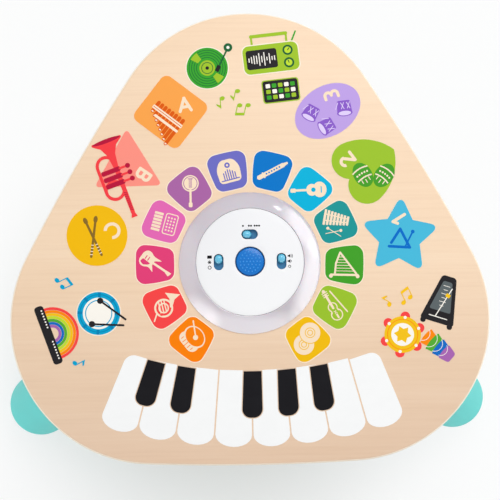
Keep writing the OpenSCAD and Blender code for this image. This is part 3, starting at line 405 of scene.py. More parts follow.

# %% [markdown]
# Moulded plastic is even in colour, so its life is in the gloss: a slow wander of the roughness, and a
# relief of a few hundredths of a millimetre, coarser where the mould was spark-eroded for a matt skin.
# The ring of the dome is milky: light goes a few millimetres in before it comes out again. The white
# cap is painted a little greyer on its far side, a painted shade. Metal has fine brushed streaks, and
# the board's tracks are bricks.

# %% Plastics that show, and rubber
def moulded(name, rgb, low, high, skin=0.00001, skin_scale=1500.0, **sockets):
    """Plastic with roughness from low to high, and a skin of that relief in metres and that fineness"""
    finish = new_finish(name, rgb, (low + high) / 2, **sockets)
    wander = noise(finish, detail=1.0, scale=22.0)
    grain = noise(finish, detail=2.0, scale=skin_scale)
    darker = [0.985 * value for value in rgb]
    plug(finish, "Base Color", ramp(finish, wander, (0.35, darker), (0.65, rgb)))
    relief(finish, grain, skin)
    sheen(finish, wander, low, high)
    return finish


milky = moulded("milky_plastic", (203, 195, 204), 0.1, 0.15, Subsurface_Weight=0.25, Subsurface_Scale=0.004,
                Coat_Weight=1.0, Coat_Roughness=0.1, Coat_IOR=1.7, Specular_IOR_Level=0.6)
white_gloss = moulded("white_plastic", (250, 250, 250), 0.34, 0.42, skin=0.000006,
                      Specular_IOR_Level=0.25)
# painted shade: the cap is painted greyer towards its far side
cap_painted_shade = fade(white_gloss, "Y", ring_low.y, ring_high.y, (254, 254, 254), (236, 235, 237))
plug(white_gloss, "Base Color", cap_painted_shade)
button_blue = moulded("button_blue", (0, 116, 204), 0.16, 0.22, Specular_IOR_Level=0.3)
# painted highlight: the button's dots are a paler blue than the button
dot_highlight_blue = moulded("dot_highlight_blue", (44, 146, 224), 0.16, 0.22, Specular_IOR_Level=0.3)
# painted shade: dark blue for the walls of the cap's openings and the ledge round the button
gap_shade_blue = moulded("gap_shade_blue", (16, 74, 122), 0.4, 0.5)
knob_blue = moulded("knob_blue", (92, 194, 228), 0.1, 0.16, Coat_Weight=0.6, Coat_Roughness=0.05)
rubber = moulded("foot_rubber", (66, 116, 118), 0.6, 0.75, skin=0.00004, skin_scale=2500.0)
print("finishes of what one sees:", milky.name, white_gloss.name, button_blue.name, knob_blue.name)

# %% Finishes of the small parts, by their slots in the record
STREAKS = (600, 600, 60)


def metal(name, rgb, low, high):
    """Metal that is brushed along Z, with roughness from low to high"""
    finish = new_finish(name, rgb, (low + high) / 2, Metallic=1.0)
    brushed = noise(finish, STREAKS, 4.0)
    darker = [0.8 * value for value in rgb]
    plug(finish, "Base Color", ramp(finish, brushed, (0.3, darker), (0.7, rgb)))
    relief(finish, brushed, 0.00002)
    sheen(finish, brushed, low, high)
    return finish


small_finishes = {
    "dark_blue_plastic": moulded("shutter_blue", (40, 128, 178), 0.3, 0.42),
    "silicone": moulded("silicone", (200, 200, 194), 0.45, 0.55),
    "grey_plastic": moulded("pale_grey_plastic", (236, 236, 234), 0.42, 0.55, skin=0.00003,
                            skin_scale=2800.0),
    "black_plastic": moulded("black_plastic", (40, 40, 43), 0.4, 0.5, skin=0.00003),
    "spacer_nylon": moulded("nylon", (238, 236, 222), 0.4, 0.5),
    "led_plastic": moulded("led_cap", (250, 246, 214), 0.15, 0.25),
    "foam": moulded("black_foam", (44, 44, 46), 0.8, 0.95, skin=0.0003, skin_scale=1600.0),
    "cone_paper": moulded("paper_cone", (52, 52, 55), 0.75, 0.9, skin=0.00012, skin_scale=900.0),
    "magnet": moulded("ferrite", (84, 84, 88), 0.35, 0.5, skin=0.00006),
    "speaker_metal": moulded("speaker_grey", (116, 118, 124), 0.35, 0.45),
    "film": moulded("amber_film", (214, 150, 84), 0.25, 0.35),
    "red_wire": moulded("red_wire", (190, 32, 32), 0.35, 0.45),
    "black_wire": moulded("black_wire", (42, 42, 45), 0.35, 0.45),
    "cell_jacket": moulded("cell_jacket", (58, 62, 70), 0.2, 0.3, Metallic=0.4),
    "steel": metal("zinc_plated_steel", (196, 198, 202), 0.25, 0.4),
    "brass": metal("turned_brass", (208, 178, 104), 0.22, 0.35),
}


def circuit_green():
    """Green lacquer over copper tracks"""
    finish = new_finish("circuit_board", (28, 96, 58), 0.3, Coat_Weight=0.3)
    tracks = texture(finish, "TexBrick", (260, 260, 260), {"offset": 0.37, "squash": 0.6},
                     Scale=1.0, Mortar_Size=0.03, Row_Height=0.22)
    plug(finish, "Base Color", ramp(finish, tracks, (0.4, (26, 92, 55)), (0.6, (44, 122, 76))))
    relief(finish, tracks, 0.00004)
    return finish


small_finishes["circuit_board"] = circuit_green()
print("small finishes:", len(small_finishes))

# %% [markdown]
# Ink on the lacquered wood is a thin satin film. The grain still telegraphs through it as the faintest
# relief, and its colour is a touch uneven, as screen printing is. One function makes every ink, and one
# makes a whole set. The tiles' inks run clockwise round the dome.

# %% Inks
def ink(name, rgb):
    """A satin ink on wood"""
    finish = new_finish(name, rgb, 0.4, Specular_IOR_Level=0.08)
    uneven = noise(finish, (60, 90, 60))
    fibres = noise(finish, (12, 330, 330), 4.0)
    weaker = [0.98 * value + 3 for value in rgb]
    plug(finish, "Base Color", ramp(finish, uneven, (0.35, rgb), (0.7, weaker)))
    relief(finish, fibres, 0.00005)
    sheen(finish, uneven, 0.34, 0.48)
    return finish


def inks(**colors):
    """A list with an ink for each named colour"""
    return [ink(name + "_ink", rgb) for name, rgb in colors.items()]


tile_inks = inks(deep_blue=(1, 118, 201), cyan=(0, 180, 220), teal=(30, 150, 150), green=(65, 160, 40),
                 lime=(155, 195, 45), amber=(245, 190, 10), orange=(255, 130, 0), red=(250, 70, 70),
                 magenta=(229, 63, 119), pink=(230, 105, 180), purple=(171, 102, 165),
                 violet=(110, 110, 195))
cream_ink = ink("cream_ink", (252, 228, 198))
halo_ink = ink("halo_ink", (255, 236, 212))
white_ink = ink("white_ink", (252, 252, 251))
black_ink = ink("black_ink", (21, 20, 24))
print("inks:", len(tile_inks) + 4)

# %% [markdown]
# ## The frame's own solids
# Most solids of the frame already have their true shape and only need a finish. The record says which
# finish each one belongs to, so a table from its slot names to the finishes dresses them all. The plain
# materials that they came with are dropped.

# %% Dress the frame's solids
slot_finishes = {
    **small_finishes, "birch_ply": birch, "beech": beech, "painted_leg": turquoise, "rubber_foot": rubber,
    "milky_plastic": milky, "white_plastic": white_gloss, "blue_plastic": button_blue,
    "light_blue_plastic": knob_blue, "white_ink": white_ink, "black_ink": black_ink,
    "colour_ink": tile_inks[2], "pastel_ink": tile_inks[5],
}
node_slots = {part["node"]: part["material_slot"] for part in frame["record"]["subparts"]}
for name, solid in nodes.items():
    solid.data.materials.clear()
    solid.data.materials.append(slot_finishes[node_slots[name]])
nodes["bottom_cover"].data.materials[0] = birch_cover
print("dressed", len(nodes), "solids")

# %% [markdown]
# ## From a bmesh to a piece
# Every new piece ends the same way: its faces point outwards, its place goes into its mesh, edges that
# are sharper than an angle stay crisp, and it rides on a body of the frame. Pieces that have the shape
# of a frame solid stand for it, so that the two never show at once.

# %% Finish a piece
def place_piece(shape, name, finishes, stands_for=(), body="table", place=TABLETOP, smooth=38):
    """The finished object; edges that turn by more than smooth degrees stay crisp"""
    bmesh.ops.recalc_face_normals(shape, faces=shape.faces)
    bmesh.ops.transform(shape, matrix=place, verts=shape.verts)
    mesh = bpy.data.meshes.new(name)
    shape.to_mesh(mesh)
    shape.free()
    for finish in finishes:
        mesh.materials.append(finish)
    mesh.shade_smooth()
    mesh.set_sharp_from_angle(angle=math.radians(smooth))
    piece = bpy.data.objects.new(name, mesh)
    scene.collection.objects.link(piece)
    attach(piece, body)
    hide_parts(*stands_for)
    print(name, len(mesh.polygons), "faces")
    return piece


# %% [markdown]
# Real edges are never quite sharp, and the thin bright line that a rounded edge draws is what makes a
# solid look made. A softened copy of a frame solid is merged first, because its triangles come loose,
# then its sharp edges are bevelled by a bmesh operator and the copy stands for the solid. The white cap
# gets a second, dark blue finish on the upper walls of its openings and on the ledge round the button:
# painted shade in its gaps.

# %% Softened copies
GAP_SHADE_DEPTH = 4
BORE_LEDGE_R = 14.6
SLOTS_R = 40
LOOSE = 0.002 * MM
FLAT_ANGLE = math.radians(0.3)
SHARP_ANGLE = math.radians(35)
WALL_NORMAL_Z = 0.5
LEDGE_NORMAL_Z = 0.9
cap_low, cap_high = (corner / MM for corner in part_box("control_cap"))


def in_gap_shade(face):
    """True where shade is painted: the walls of the cap's openings and the ledge round the button"""
    middle = TABLETOP.inverted() @ face.calc_center_median()
    deep = middle.z < cap_high.z - table_h - GAP_SHADE_DEPTH
    wall = abs(face.normal.z) < WALL_NORMAL_Z and middle.xy.length < SLOTS_R
    reach = max((TABLETOP.inverted() @ vert.co).xy.length for vert in face.verts)
    ledge = face.normal.z > LEDGE_NORMAL_Z and reach < BORE_LEDGE_R
    return (wall or ledge) and not deep


def softened(name, width, more_finishes=()):
    """A copy of a frame solid whose sharp edges are bevelled by a width in millimetres"""
    shape = bmesh.new()
    shape.from_mesh(nodes[name].data)
    bmesh.ops.remove_doubles(shape, verts=shape.verts, dist=LOOSE)
    bmesh.ops.dissolve_limit(shape, angle_limit=FLAT_ANGLE, verts=shape.verts, edges=shape.edges)
    for face in shape.faces:
        face.material_index = 1 if more_finishes and in_gap_shade(face) else 0
    edges = [e for e in shape.edges if e.is_manifold and e.calc_face_angle() > SHARP_ANGLE]
    bmesh.ops.bevel(shape, geom=edges, offset=width * MM, segments=2, profile=0.5, material=-1,
                    affect="EDGES", clamp_overlap=True)
    finishes = list(nodes[name].data.materials) + list(more_finishes)
    body = nodes[name]["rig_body"]
    return place_piece(shape, name + "_soft", finishes, [name], body, Matrix(), 50)


for name, width in {"rim_frame": 0.8, "bottom_cover": 0.4, "battery_box": 0.3, "battery_door": 0.3}.items():
    softened(name, width)
# the cap's openings get the painted shade of their gaps
softened("control_cap", 0.3, more_finishes=[gap_shade_blue])

# %% [markdown]
# ## The tabletop panel
# The panel is a slab with a rounded edge all the way round. One could bevel a slab, but its outline is
# made of six arcs that meet without a kink, and every line parallel to it is made of six arcs round the
# same centres. So the edge is built of such parallel loops, each drawn by spinning a single vertex
# round one centre after the other, and neighbouring loops are bridged. The slope of the upper rounding
# is painted paler, a painted highlight along the edge.

# %% Outline of arcs
CORNER_R = 136
CORNER_REACH = 108
SIDE_R = 1970
PANEL_T = (panel_high.z - panel_low.z) / MM
PANEL_ROUND = 3
HOLE_R = 60
inner_side = SIDE_R - CORNER_R
side_offset = (math.sqrt(4 * inner_side ** 2 - 3 * CORNER_REACH ** 2) - CORNER_REACH) / 2
corner_half = math.atan2(side_offset * math.sin(math.pi / 3), CORNER_REACH + side_offset / 2)
side_half = math.pi / 3 - corner_half
CORNER_STEPS = 44
SIDE_STEPS = 16
LOOP_GAP = 0.01
HIGHLIGHT_SLOPES = (0.3, 0.85)


def swept(shape, vert, centre, angle, steps, axis=(0, 0, 1)):
    """Draws an arc from a vertex round a centre, and returns the vertex at its end"""
    made = bmesh.ops.spin(shape, geom=[vert], cent=centre, axis=axis, angle=angle, steps=steps)
    return [part for part in made["geom_last"] if isinstance(part, bmesh.types.BMVert)][0]


def outline_loop(shape, inset, height):
    """The tabletop's outline as one closed loop of edges, set in and at a height"""
    old = set(shape.edges)
    lift = Vector((0, 0, height))
    corner = math.radians(-30)
    centre = direction(corner, CORNER_REACH) + lift
    vert = shape.verts.new(centre + direction(corner - corner_half, CORNER_R - inset))
    for _ in range(3):
        side_centre = direction(corner + math.pi / 3, -side_offset) + lift
        vert = swept(shape, vert, direction(corner, CORNER_REACH) + lift, 2 * corner_half, CORNER_STEPS)
        vert = swept(shape, vert, side_centre, 2 * side_half, SIDE_STEPS)
        corner += 2 * math.pi / 3
    loop = [edge for edge in shape.edges if edge not in old]
    bmesh.ops.remove_doubles(shape, verts=list({v for edge in loop for v in edge.verts}), dist=LOOP_GAP)
    return [edge for edge in shape.edges if edge not in old]


def circle_loop(shape, radius, height, segments=96):
    """A closed loop of edges round the middle, at a height"""
    made = bmesh.ops.create_circle(shape, segments=segments, radius=radius,
                                   matrix=Matrix.Translation((0, 0, height)))
    return list({edge for vert in made["verts"] for edge in vert.link_edges})


print("each corner turns", round(math.degrees(2 * corner_half), 1), "degrees")

# %% Panel with a rounded edge
panel = bmesh.new()
quarter = [math.radians(15 * step) for step in range(7)]
levels = [(PANEL_ROUND * (1 - math.sin(a)), -PANEL_T + PANEL_ROUND * (1 - math.cos(a))) for a in quarter]
levels += [(PANEL_ROUND * (1 - math.cos(a)), -PANEL_ROUND * (1 - math.sin(a))) for a in quarter]
edge_loops = [outline_loop(panel, inset, height) for inset, height in levels]
for lower, upper in zip(edge_loops, edge_loops[1:]):
    bmesh.ops.bridge_loops(panel, edges=lower + upper)
hole_loops = [circle_loop(panel, HOLE_R, height) for height in (-PANEL_T, 0)]
bmesh.ops.bridge_loops(panel, edges=hole_loops[0] + hole_loops[1])
for outer, hole in ((edge_loops[0], hole_loops[0]), (edge_loops[-1], hole_loops[1])):
    bmesh.ops.triangle_fill(panel, use_beauty=True, edges=outer + hole)
# painted highlight: the slope of the upper rounding is painted paler
painted_edge_highlight = ink("painted_edge_highlight", (254, 240, 220))
panel.normal_update()
for face in panel.faces:
    upper = face.calc_center_median().z > -PANEL_ROUND
    highlighted = upper and HIGHLIGHT_SLOPES[0] < abs(face.normal.z) < HIGHLIGHT_SLOPES[1]
    face.material_index = 1 if highlighted else 0
place_piece(panel, "tabletop", [birch, painted_edge_highlight], ["top_panel"])

# %% [markdown]
# ## Turned solids
# The ring, the button and the feet are round, as if turned on a lathe. One draws half of the section,
# in straight lines and arcs from one vertex on, and spins it once round the upright axis.

# %% Sections that are spun
MERGE = 0.001


def section_line(shape, vert, *points):
    """Goes on from a vertex in straight lines, through points given by radius and height"""
    for radius, height in points:
        vert = bmesh.ops.extrude_vert_indiv(shape, verts=[vert])["verts"][0]
        vert.co = (radius, 0, height)
    return vert


def section_arc(shape, vert, centre, angle, steps):
    """Goes on from a vertex in an arc round a centre given by radius and height"""
    return swept(shape, vert, (centre[0], 0, centre[1]), angle, steps, (0, 1, 0))


def turn_section(shape, steps=144):
    """Spins the whole section round the upright axis into a closed turned solid"""
    bmesh.ops.spin(shape, geom=shape.verts[:] + shape.edges[:], cent=(0, 0, 0), axis=(0, 0, 1),
                   angle=2 * math.pi, steps=steps, use_merge=True)
    bmesh.ops.remove_doubles(shape, verts=shape.verts, dist=MERGE)


print("helpers for turned solids: section_line, section_arc and turn_section")

# %% [markdown]
# ## The milky ring
# The light ring is a turned shell: a short plain foot, a convex slope and a lip that holds the white
# cap. Its section has two arcs, one for the slope and a tiny one for the lip. The slope is what the
# highlights run along, so it gets the most segments.

# %% Light ring
RING_R = 68
RING_RISE = 14
RING_FOOT = 1
RING_BULGE = 110
LIP_R = 51.5
LIP_ROUND = 0.5
LEDGE_R = 48.5
LEDGE_TOP = 9.4
SKIRT_R = 59.6
SKIRT_T = 2.3
SKIRT_FOOT = -9
LEDGE_T = 2
slope_foot = Vector((RING_R, RING_FOOT))
slope_top = Vector((LIP_R + LIP_ROUND, RING_RISE))
half_chord = (slope_top - slope_foot) / 2
sag_side = Vector((-half_chord.y, half_chord.x)).normalized()
slope_centre = slope_foot + half_chord + sag_side * math.sqrt(RING_BULGE ** 2 - half_chord.length ** 2)
slope_angle = 2 * math.asin(half_chord.length / RING_BULGE)
ring = bmesh.new()
vert = section_line(ring, ring.verts.new((RING_R, 0, 0)), slope_foot)
vert = section_arc(ring, vert, slope_centre, -slope_angle, 24)
vert = section_arc(ring, vert, (LIP_R + LIP_ROUND, RING_RISE - LIP_ROUND), math.radians(-90), 4)
vert = section_line(ring, vert, (LIP_R, LEDGE_TOP), (LEDGE_R, LEDGE_TOP), (LEDGE_R, LEDGE_TOP - LEDGE_T),
                    (SKIRT_R - SKIRT_T, LEDGE_TOP - LEDGE_T), (SKIRT_R - SKIRT_T, SKIRT_FOOT),
                    (SKIRT_R, SKIRT_FOOT), (SKIRT_R, 0), (RING_R, 0))
bmesh.ops.remove_doubles(ring, verts=ring.verts, dist=MERGE)
turn_section(ring)
place_piece(ring, "milky_ring", [milky], ["light_ring"])

# %% [markdown]
# ## The centre button
# A low blue button with a soft rounded rim, rings of small raised dots that a finger can feel, and a
# flange below that keeps it under the cap. The body is turned like the ring, and each dot is a small
# sphere, flattened and half sunk, with few faces. The dots are a paler blue, a painted highlight.

# %% Centre button
button_low, button_high = (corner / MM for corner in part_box("centre_button"))
BUTTON_R = 13.4
DOT_R = 0.75
DOT_RISE = 0.4
BUTTON_TOP = button_high.z - table_h - DOT_RISE
BUTTON_BOTTOM = button_low.z - table_h
BUTTON_ROUND = 1.5
FLANGE_R = 15.6
FLANGE_T = 1.5
CROWN_R = 60
DOT_RINGS = ((0, 1), (3.2, 6), (6.4, 12), (9.4, 18))


def button_crown(reach):
    """The height of the button's crown at a distance from its middle"""
    return BUTTON_TOP - reach ** 2 / (2 * CROWN_R)


rim_top = button_crown(BUTTON_R - BUTTON_ROUND)
button = bmesh.new()
vert = section_line(button, button.verts.new((0, 0, BUTTON_BOTTOM)), (FLANGE_R, BUTTON_BOTTOM),
                    (FLANGE_R, BUTTON_BOTTOM + FLANGE_T), (BUTTON_R, BUTTON_BOTTOM + FLANGE_T),
                    (BUTTON_R, rim_top - BUTTON_ROUND))
vert = section_arc(button, vert, (BUTTON_R - BUTTON_ROUND, rim_top - BUTTON_ROUND), math.radians(-84), 6)
for share in (0.8, 0.6, 0.4, 0.2, 0):
    radius = share * (BUTTON_R - BUTTON_ROUND)
    vert = section_line(button, vert, (radius, button_crown(radius)))
turn_section(button, 96)
body_faces = set(button.faces)
for reach, count in DOT_RINGS:
    for step in range(count):
        spot = direction(2 * math.pi * step / count, reach)
        spot.z = button_crown(reach)
        flat = Matrix.Translation(spot) @ Matrix.Diagonal((1, 1, DOT_RISE / DOT_R, 1))
        bmesh.ops.create_uvsphere(button, u_segments=10, v_segments=6, radius=DOT_R, matrix=flat)
for face in button.faces:
    face.material_index = 0 if face in body_faces else 1
place_piece(button, "push_button", [button_blue, dot_highlight_blue], ["centre_button"], "button")

# %% [markdown]
# Below the button a small dome of silicone springs it back. Its softened copy gets a mesh of its own.

# %% Spring dome
spring_dome = softened("button_rubber", 0.1)
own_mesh(spring_dome)

# %% [markdown]
# ## The slider knobs
# Each knob is a little pebble that stands in its slot. A circle with its two halves drawn apart gives
# the outline, an extrusion gives the height and a wide bevel of the upper edge gives the pebble. The
# box of the frame's knob tells where it stands and which way it is long.

# %% Slider knobs
KNOB_ROUND = 3.8
KNOB_SLIM = 0.45


def knob_shape(low, high):
    """A pebble in a box, a little slimmer than the box"""
    length, width = high.x - low.x - 2 * KNOB_SLIM, high.y - low.y - 2 * KNOB_SLIM
    radius = min(length, width) / 2
    shape = bmesh.new()
    half_step = Matrix.Rotation(math.pi / 32, 4, "Z")
    bmesh.ops.create_circle(shape, cap_ends=True, segments=32, radius=radius, matrix=half_step)
    apart = Vector((length / 2 - radius, width / 2 - radius, 0))
    for side in (-1, 1):
        half = [v for v in shape.verts if (v.co.x if apart.x > apart.y else v.co.y) * side > 0]
        bmesh.ops.translate(shape, vec=side * apart, verts=half)
    raised = bmesh.ops.extrude_face_region(shape, geom=shape.faces[:], use_keep_orig=True)["geom"]
    top = [part for part in raised if isinstance(part, bmesh.types.BMVert)]
    bmesh.ops.translate(shape, vec=(0, 0, high.z - low.z), verts=top)
    rim = [e for e in shape.edges if all(v in top for v in e.verts)]
    bmesh.ops.bevel(shape, geom=rim, offset=KNOB_ROUND, segments=10, profile=0.5, material=-1,
                    affect="EDGES", clamp_overlap=True)
    middle = (low + high) / 2
    bmesh.ops.translate(shape, vec=(middle.x, middle.y, low.z), verts=shape.verts)
    return shape


for slider in ("language", "mode", "volume"):
    low, high = (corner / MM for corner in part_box(slider + "_knob"))
    place_piece(knob_shape(low, high), slider + "_pebble", [knob_blue],
                [slider + "_knob"], slider + "_slider", Matrix.Scale(MM, 4), 60)

# %% [markdown]
# ## Feet
# The rubber pads are pressed into the legs. What shows is a low rounded disc with two grooves in its
# sole, turned from a section, once for each leg.

# %% Foot pads
PAD_ROUND = 2
GROOVES = (6, 11)
GROOVE_W = 1.6
GROOVE_D = 0.8
GROOVE_SLANT = 0.4
for leg in ("front_left", "front_right", "rear"):
    low, high = (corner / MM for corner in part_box("foot_pad_" + leg))
    pad_r, pad_t = (high.x - low.x) / 2, high.z - low.z
    pad = bmesh.new()
    sole = [(0, 0)]
    for groove in GROOVES:
        sole += [(groove, 0), (groove + GROOVE_SLANT, GROOVE_D),
                 (groove + GROOVE_W - GROOVE_SLANT, GROOVE_D), (groove + GROOVE_W, 0)]
    vert = section_line(pad, pad.verts.new((0, 0, 0)), *sole[1:], (pad_r - PAD_ROUND, 0))
    vert = section_arc(pad, vert, (pad_r - PAD_ROUND, PAD_ROUND), math.radians(-90), 6)
    section_line(pad, vert, (pad_r, pad_t), (0, pad_t))
    turn_section(pad, 64)
    middle = (low + high) / 2
    bmesh.ops.translate(pad, vec=(middle.x, middle.y, low.z), verts=pad.verts)
    place_piece(pad, "rubber_pad_" + leg, [rubber], ["foot_pad_" + leg],
                place=Matrix.Scale(MM, 4))

# %% [markdown]
# ## Printing
# Ink lies on the wood as thin flat films. Each film is a flat shape that is pulled up by its thickness,
# so that it is a closed solid with an edge of its own. A small print sheet keeps the place and the turn
# in which the next shapes are drawn, in millimetres and degrees, as one would slide a stencil over the
# table. Two films at exactly one height would flicker black where they cross, so each lies a hair above
# the one drawn before it.

# %% A print sheet
class PrintSheet:
    """Films from a height above the wood, in millimetres; a mesh carries each one over to the others"""
    OVERLAP = 0.02
    HAIR = 0.004

    def __init__(self, bottom, thickness):
        self.shape = bmesh.new()
        self.carrier = bpy.data.meshes.new("carrier")
        self.bottom = bottom - self.OVERLAP
        self.thickness = thickness + self.OVERLAP
        self.stencil(0, 0)

    def stencil(self, x, y, turn=0.0, size=1.0, color=0, hairs=0):
        """Where and in which ink the next shapes are drawn, and how many films lie there already"""
        self.base = (Matrix.Translation((x, y, 0)) @ Matrix.Rotation(math.radians(turn), 4, "Z")
                     @ Matrix.Scale(size, 4))
        self.color = color
        self.hairs = hairs

    def draw(self, flat, x=0.0, y=0.0, turn=0.0, color=None):
        """Pulls a flat shape up and lays it down over what is there, in the stencil's ink or its own"""
        for face in flat.faces:
            face.material_index = self.color if color is None else color
        pulled = bmesh.ops.extrude_face_region(flat, geom=flat.faces[:], use_keep_orig=True)["geom"]
        top = [part for part in pulled if isinstance(part, bmesh.types.BMVert)]
        place = self.base @ Matrix.Translation((x, y, 0)) @ Matrix.Rotation(math.radians(turn), 4, "Z")
        bmesh.ops.transform(flat, matrix=place, verts=flat.verts)
        bmesh.ops.translate(flat, vec=(0, 0, self.bottom), verts=flat.verts)
        bmesh.ops.translate(flat, vec=(0, 0, self.thickness + self.HAIR * self.hairs), verts=top)
        self.hairs += 1
        flat.to_mesh(self.carrier)
        flat.free()
        self.shape.from_mesh(self.carrier)

    def picture(self, draw_it, *stencil, **more):
        """Draws a whole picture, which a function knows, at a place of its own"""
        self.stencil(*stencil, **more)
        draw_it(self)

    def finish(self, name, slot, finishes, stands_for=()):
        """Makes one piece of all the films"""
        bpy.data.meshes.remove(self.carrier)
        return place_piece(self.shape, name, finishes, stands_for)


print("films lie", PrintSheet.HAIR, "mm over each other")

# %% Flat shapes to print
ARC_STEP = 7.5


def disc(radius, segments=48):
    flat = bmesh.new()
    bmesh.ops.create_circle(flat, cap_ends=True, segments=segments, radius=radius)
    return flat


def oval(half_x, half_y):
    """An ellipse, by half its width and half its height"""
    flat = disc(1, 72)
    bmesh.ops.scale(flat, vec=(half_x, half_y, 1), verts=flat.verts)
    return flat


def bar(length, width):
    """A stroke with round ends along X, from 0 to its length"""
    flat = bmesh.new()
    half_step = Matrix.Rotation(math.pi / 16, 4, "Z")
    bmesh.ops.create_circle(flat, cap_ends=True, segments=16, radius=width / 2, matrix=half_step)
    bmesh.ops.translate(flat, vec=(length, 0, 0), verts=[v for v in flat.verts if v.co.x > 0])
    return flat


def arc(radius, width, start, end):
    """A curved stroke with square ends, from one angle to another"""
    flat = bmesh.new()
    inner = flat.verts.new(direction(math.radians(start), radius - width / 2))
    outer = flat.verts.new(direction(math.radians(start), radius + width / 2))
    edge = flat.edges.new((inner, outer))
    steps = max(4, round((end - start) / ARC_STEP))
    bmesh.ops.spin(flat, geom=[inner, outer, edge], cent=(0, 0, 0), axis=(0, 0, 1),
                   angle=math.radians(end - start), steps=steps, use_merge=end - start >= 360)
    return flat


def patch(points, rounding=0.0, segments=5):
    """A flat face through a few corners, each rounded by a bevel that starts this far from it"""
    flat = bmesh.new()
    tips = [flat.verts.new((x, y, 0)) for x, y in points]
    flat.faces.new(tips)
    roundings = rounding if isinstance(rounding, (list, tuple)) else [rounding] * len(tips)
    for amount in sorted(set(roundings)):
        chosen = [v for v, own in zip(tips, roundings) if own == amount and amount > 0]
        if chosen:
            bmesh.ops.bevel(flat, geom=chosen, offset=amount, segments=segments, profile=0.5,
                            material=-1, affect="VERTICES")
    return flat


def block(width, height, rounding=0.0):
    """A rectangle round the stencil's middle"""
    x, y = width / 2, height / 2
    return patch([(-x, -y), (x, -y), (x, y), (-x, y)], rounding)


print("to print with: disc, oval, bar, arc, patch and block")

# %% [markdown]
# ## The keyboard
# Eight white and five black touch keys fan out below the dome, all on rays from one far point. A white
# key is a patch with half an ellipse for its front, and the two end keys are cut in on their outer side,
# with a round corner. Back and front lie further out on the outer keys, by the square of their number.
# A black key is wider in front, and its back leans to one side. A bare line of wood shows round the
# black keys, printed here as its own film between white and black.

# %% Outlines of the keys
FAN_R = 360
FAN_Y = FAN_R - 102.5
KEY_W = 31
KEY_L = 72.6
KEY_GAP = 1.4
KEY_FRONT_DEPTH = 11.5
KEY_FRONT_SPLITS = 12
WHITE_STEPS = [index - 3.5 for index in range(8)]
END_KEY_IN = {-3.5: 3.6, 3.5: 1.8}
KEY_SIDE_ROUND = 9
BACK_DROP = {-1: 0.1, 1: 0.28}
FRONT_DROP = 0.16
BLACK_BACK_W = 17
BLACK_W = 19.6
BLACK_L = 45
BLACK_BACK_IN = 1
BLACK_ROUND = 0.86
BLACK_LEANS = {-3: 2, -2: 0.2, 0: 0.8, 1: 2.2, 2: 1.8}
BARE_LINE = 0.9
key_pitch = KEY_W / FAN_R


def back_of(step):
    """How far from the fan's point the back of a key lies; the two sides of the fan differ a little"""
    return FAN_R + BACK_DROP[1 if step > 0 else -1] * step ** 2


def white_key(step):
    """A white key by its place from the middle of the fan, drawn towards -Y from the fan's point"""
    back, front = back_of(step), FAN_R + KEY_L + FRONT_DROP * step ** 2
    side_end = front - KEY_FRONT_DEPTH
    back_half, front_half = (r * math.sin(key_pitch / 2) - KEY_GAP / 2 for r in (back, side_end))
    cut = END_KEY_IN.get(step, 0)
    left, right = (-back_half + cut, back_half) if step < 0 else (-back_half, back_half - cut)
    turns = [math.pi * split / KEY_FRONT_SPLITS for split in range(KEY_FRONT_SPLITS + 1)]
    ellipse = [(-front_half * math.cos(turn), -side_end - KEY_FRONT_DEPTH * math.sin(turn)) for turn in turns]
    left_round, right_round = (KEY_SIDE_ROUND if step == end else 0 for end in END_KEY_IN)
    rounds = [left_round] + [0] * len(ellipse) + [right_round]
    return patch([(left, -back), *ellipse, (right, -back)], rounds, 10)


def black_key(step, grow):
    """A black key by its place from the middle of the fan, larger all round by grow"""
    back, front = back_of(step) + BLACK_BACK_IN - grow, FAN_R + BLACK_L + grow
    back_half, half = BLACK_BACK_W / 2 + grow, BLACK_W / 2 + grow
    lean = BLACK_LEANS[step]
    return patch([(lean - back_half, -back), (-half, -front), (half, -front), (lean + back_half, -back)],
                 [0, BLACK_ROUND * half, BLACK_ROUND * half, 0], 10)


print("white keys are", KEY_L, "mm long, and each takes", KEY_W, "mm at the back")

# %% Keyboard
FILM = 0.2
bare_line = ink("bare_line", (226, 198, 172))
white_sheet = PrintSheet(0, FILM)
black_sheet = PrintSheet(FILM, FILM / 2)
for step in WHITE_STEPS:
    white_sheet.stencil(0, FAN_Y, math.degrees(key_pitch * step))
    white_sheet.draw(white_key(step))
for step in BLACK_LEANS:
    white_sheet.stencil(0, FAN_Y, math.degrees(key_pitch * step), color=1, hairs=1)
    white_sheet.draw(black_key(step, BARE_LINE))
    black_sheet.stencil(0, FAN_Y, math.degrees(key_pitch * step), hairs=1)
    black_sheet.draw(black_key(step, 0))
white_sheet.finish("white_touch_keys", "white_ink", [white_ink, bare_line], ["white_keys"])
black_sheet.finish("black_touch_keys", "black_ink", [black_ink], ["black_keys"])

# %% [markdown]
# ## The twelve tiles
# Twelve touch tiles ring the dome. A tile is a patch that is wider outside, with its corners rounded by
# a vertex bevel, and all its sides swell a little. Round it runs a paler line, a second patch that is
# a little larger and half as thick. All twelve are one print with twelve inks.

# %% Tiles
TILE_ANGLES = [14 + 26 * step for step in range(6)] + [-142 + 26 * step for step in range(6)]
TILE_IN = 73.2
TILE_OUT = 108.4
TILE_IN_HALF = 14
TILE_OUT_HALF = 19
TILE_MIDDLE = (TILE_IN + TILE_OUT) / 2
TILE_IN_ROUND = 5.5
TILE_OUT_ROUND = 8.5
TILE_SWELL = 1.3
TILE_END_SWELL = 0.78
LONG_EDGE = 8
HALO = 0.9


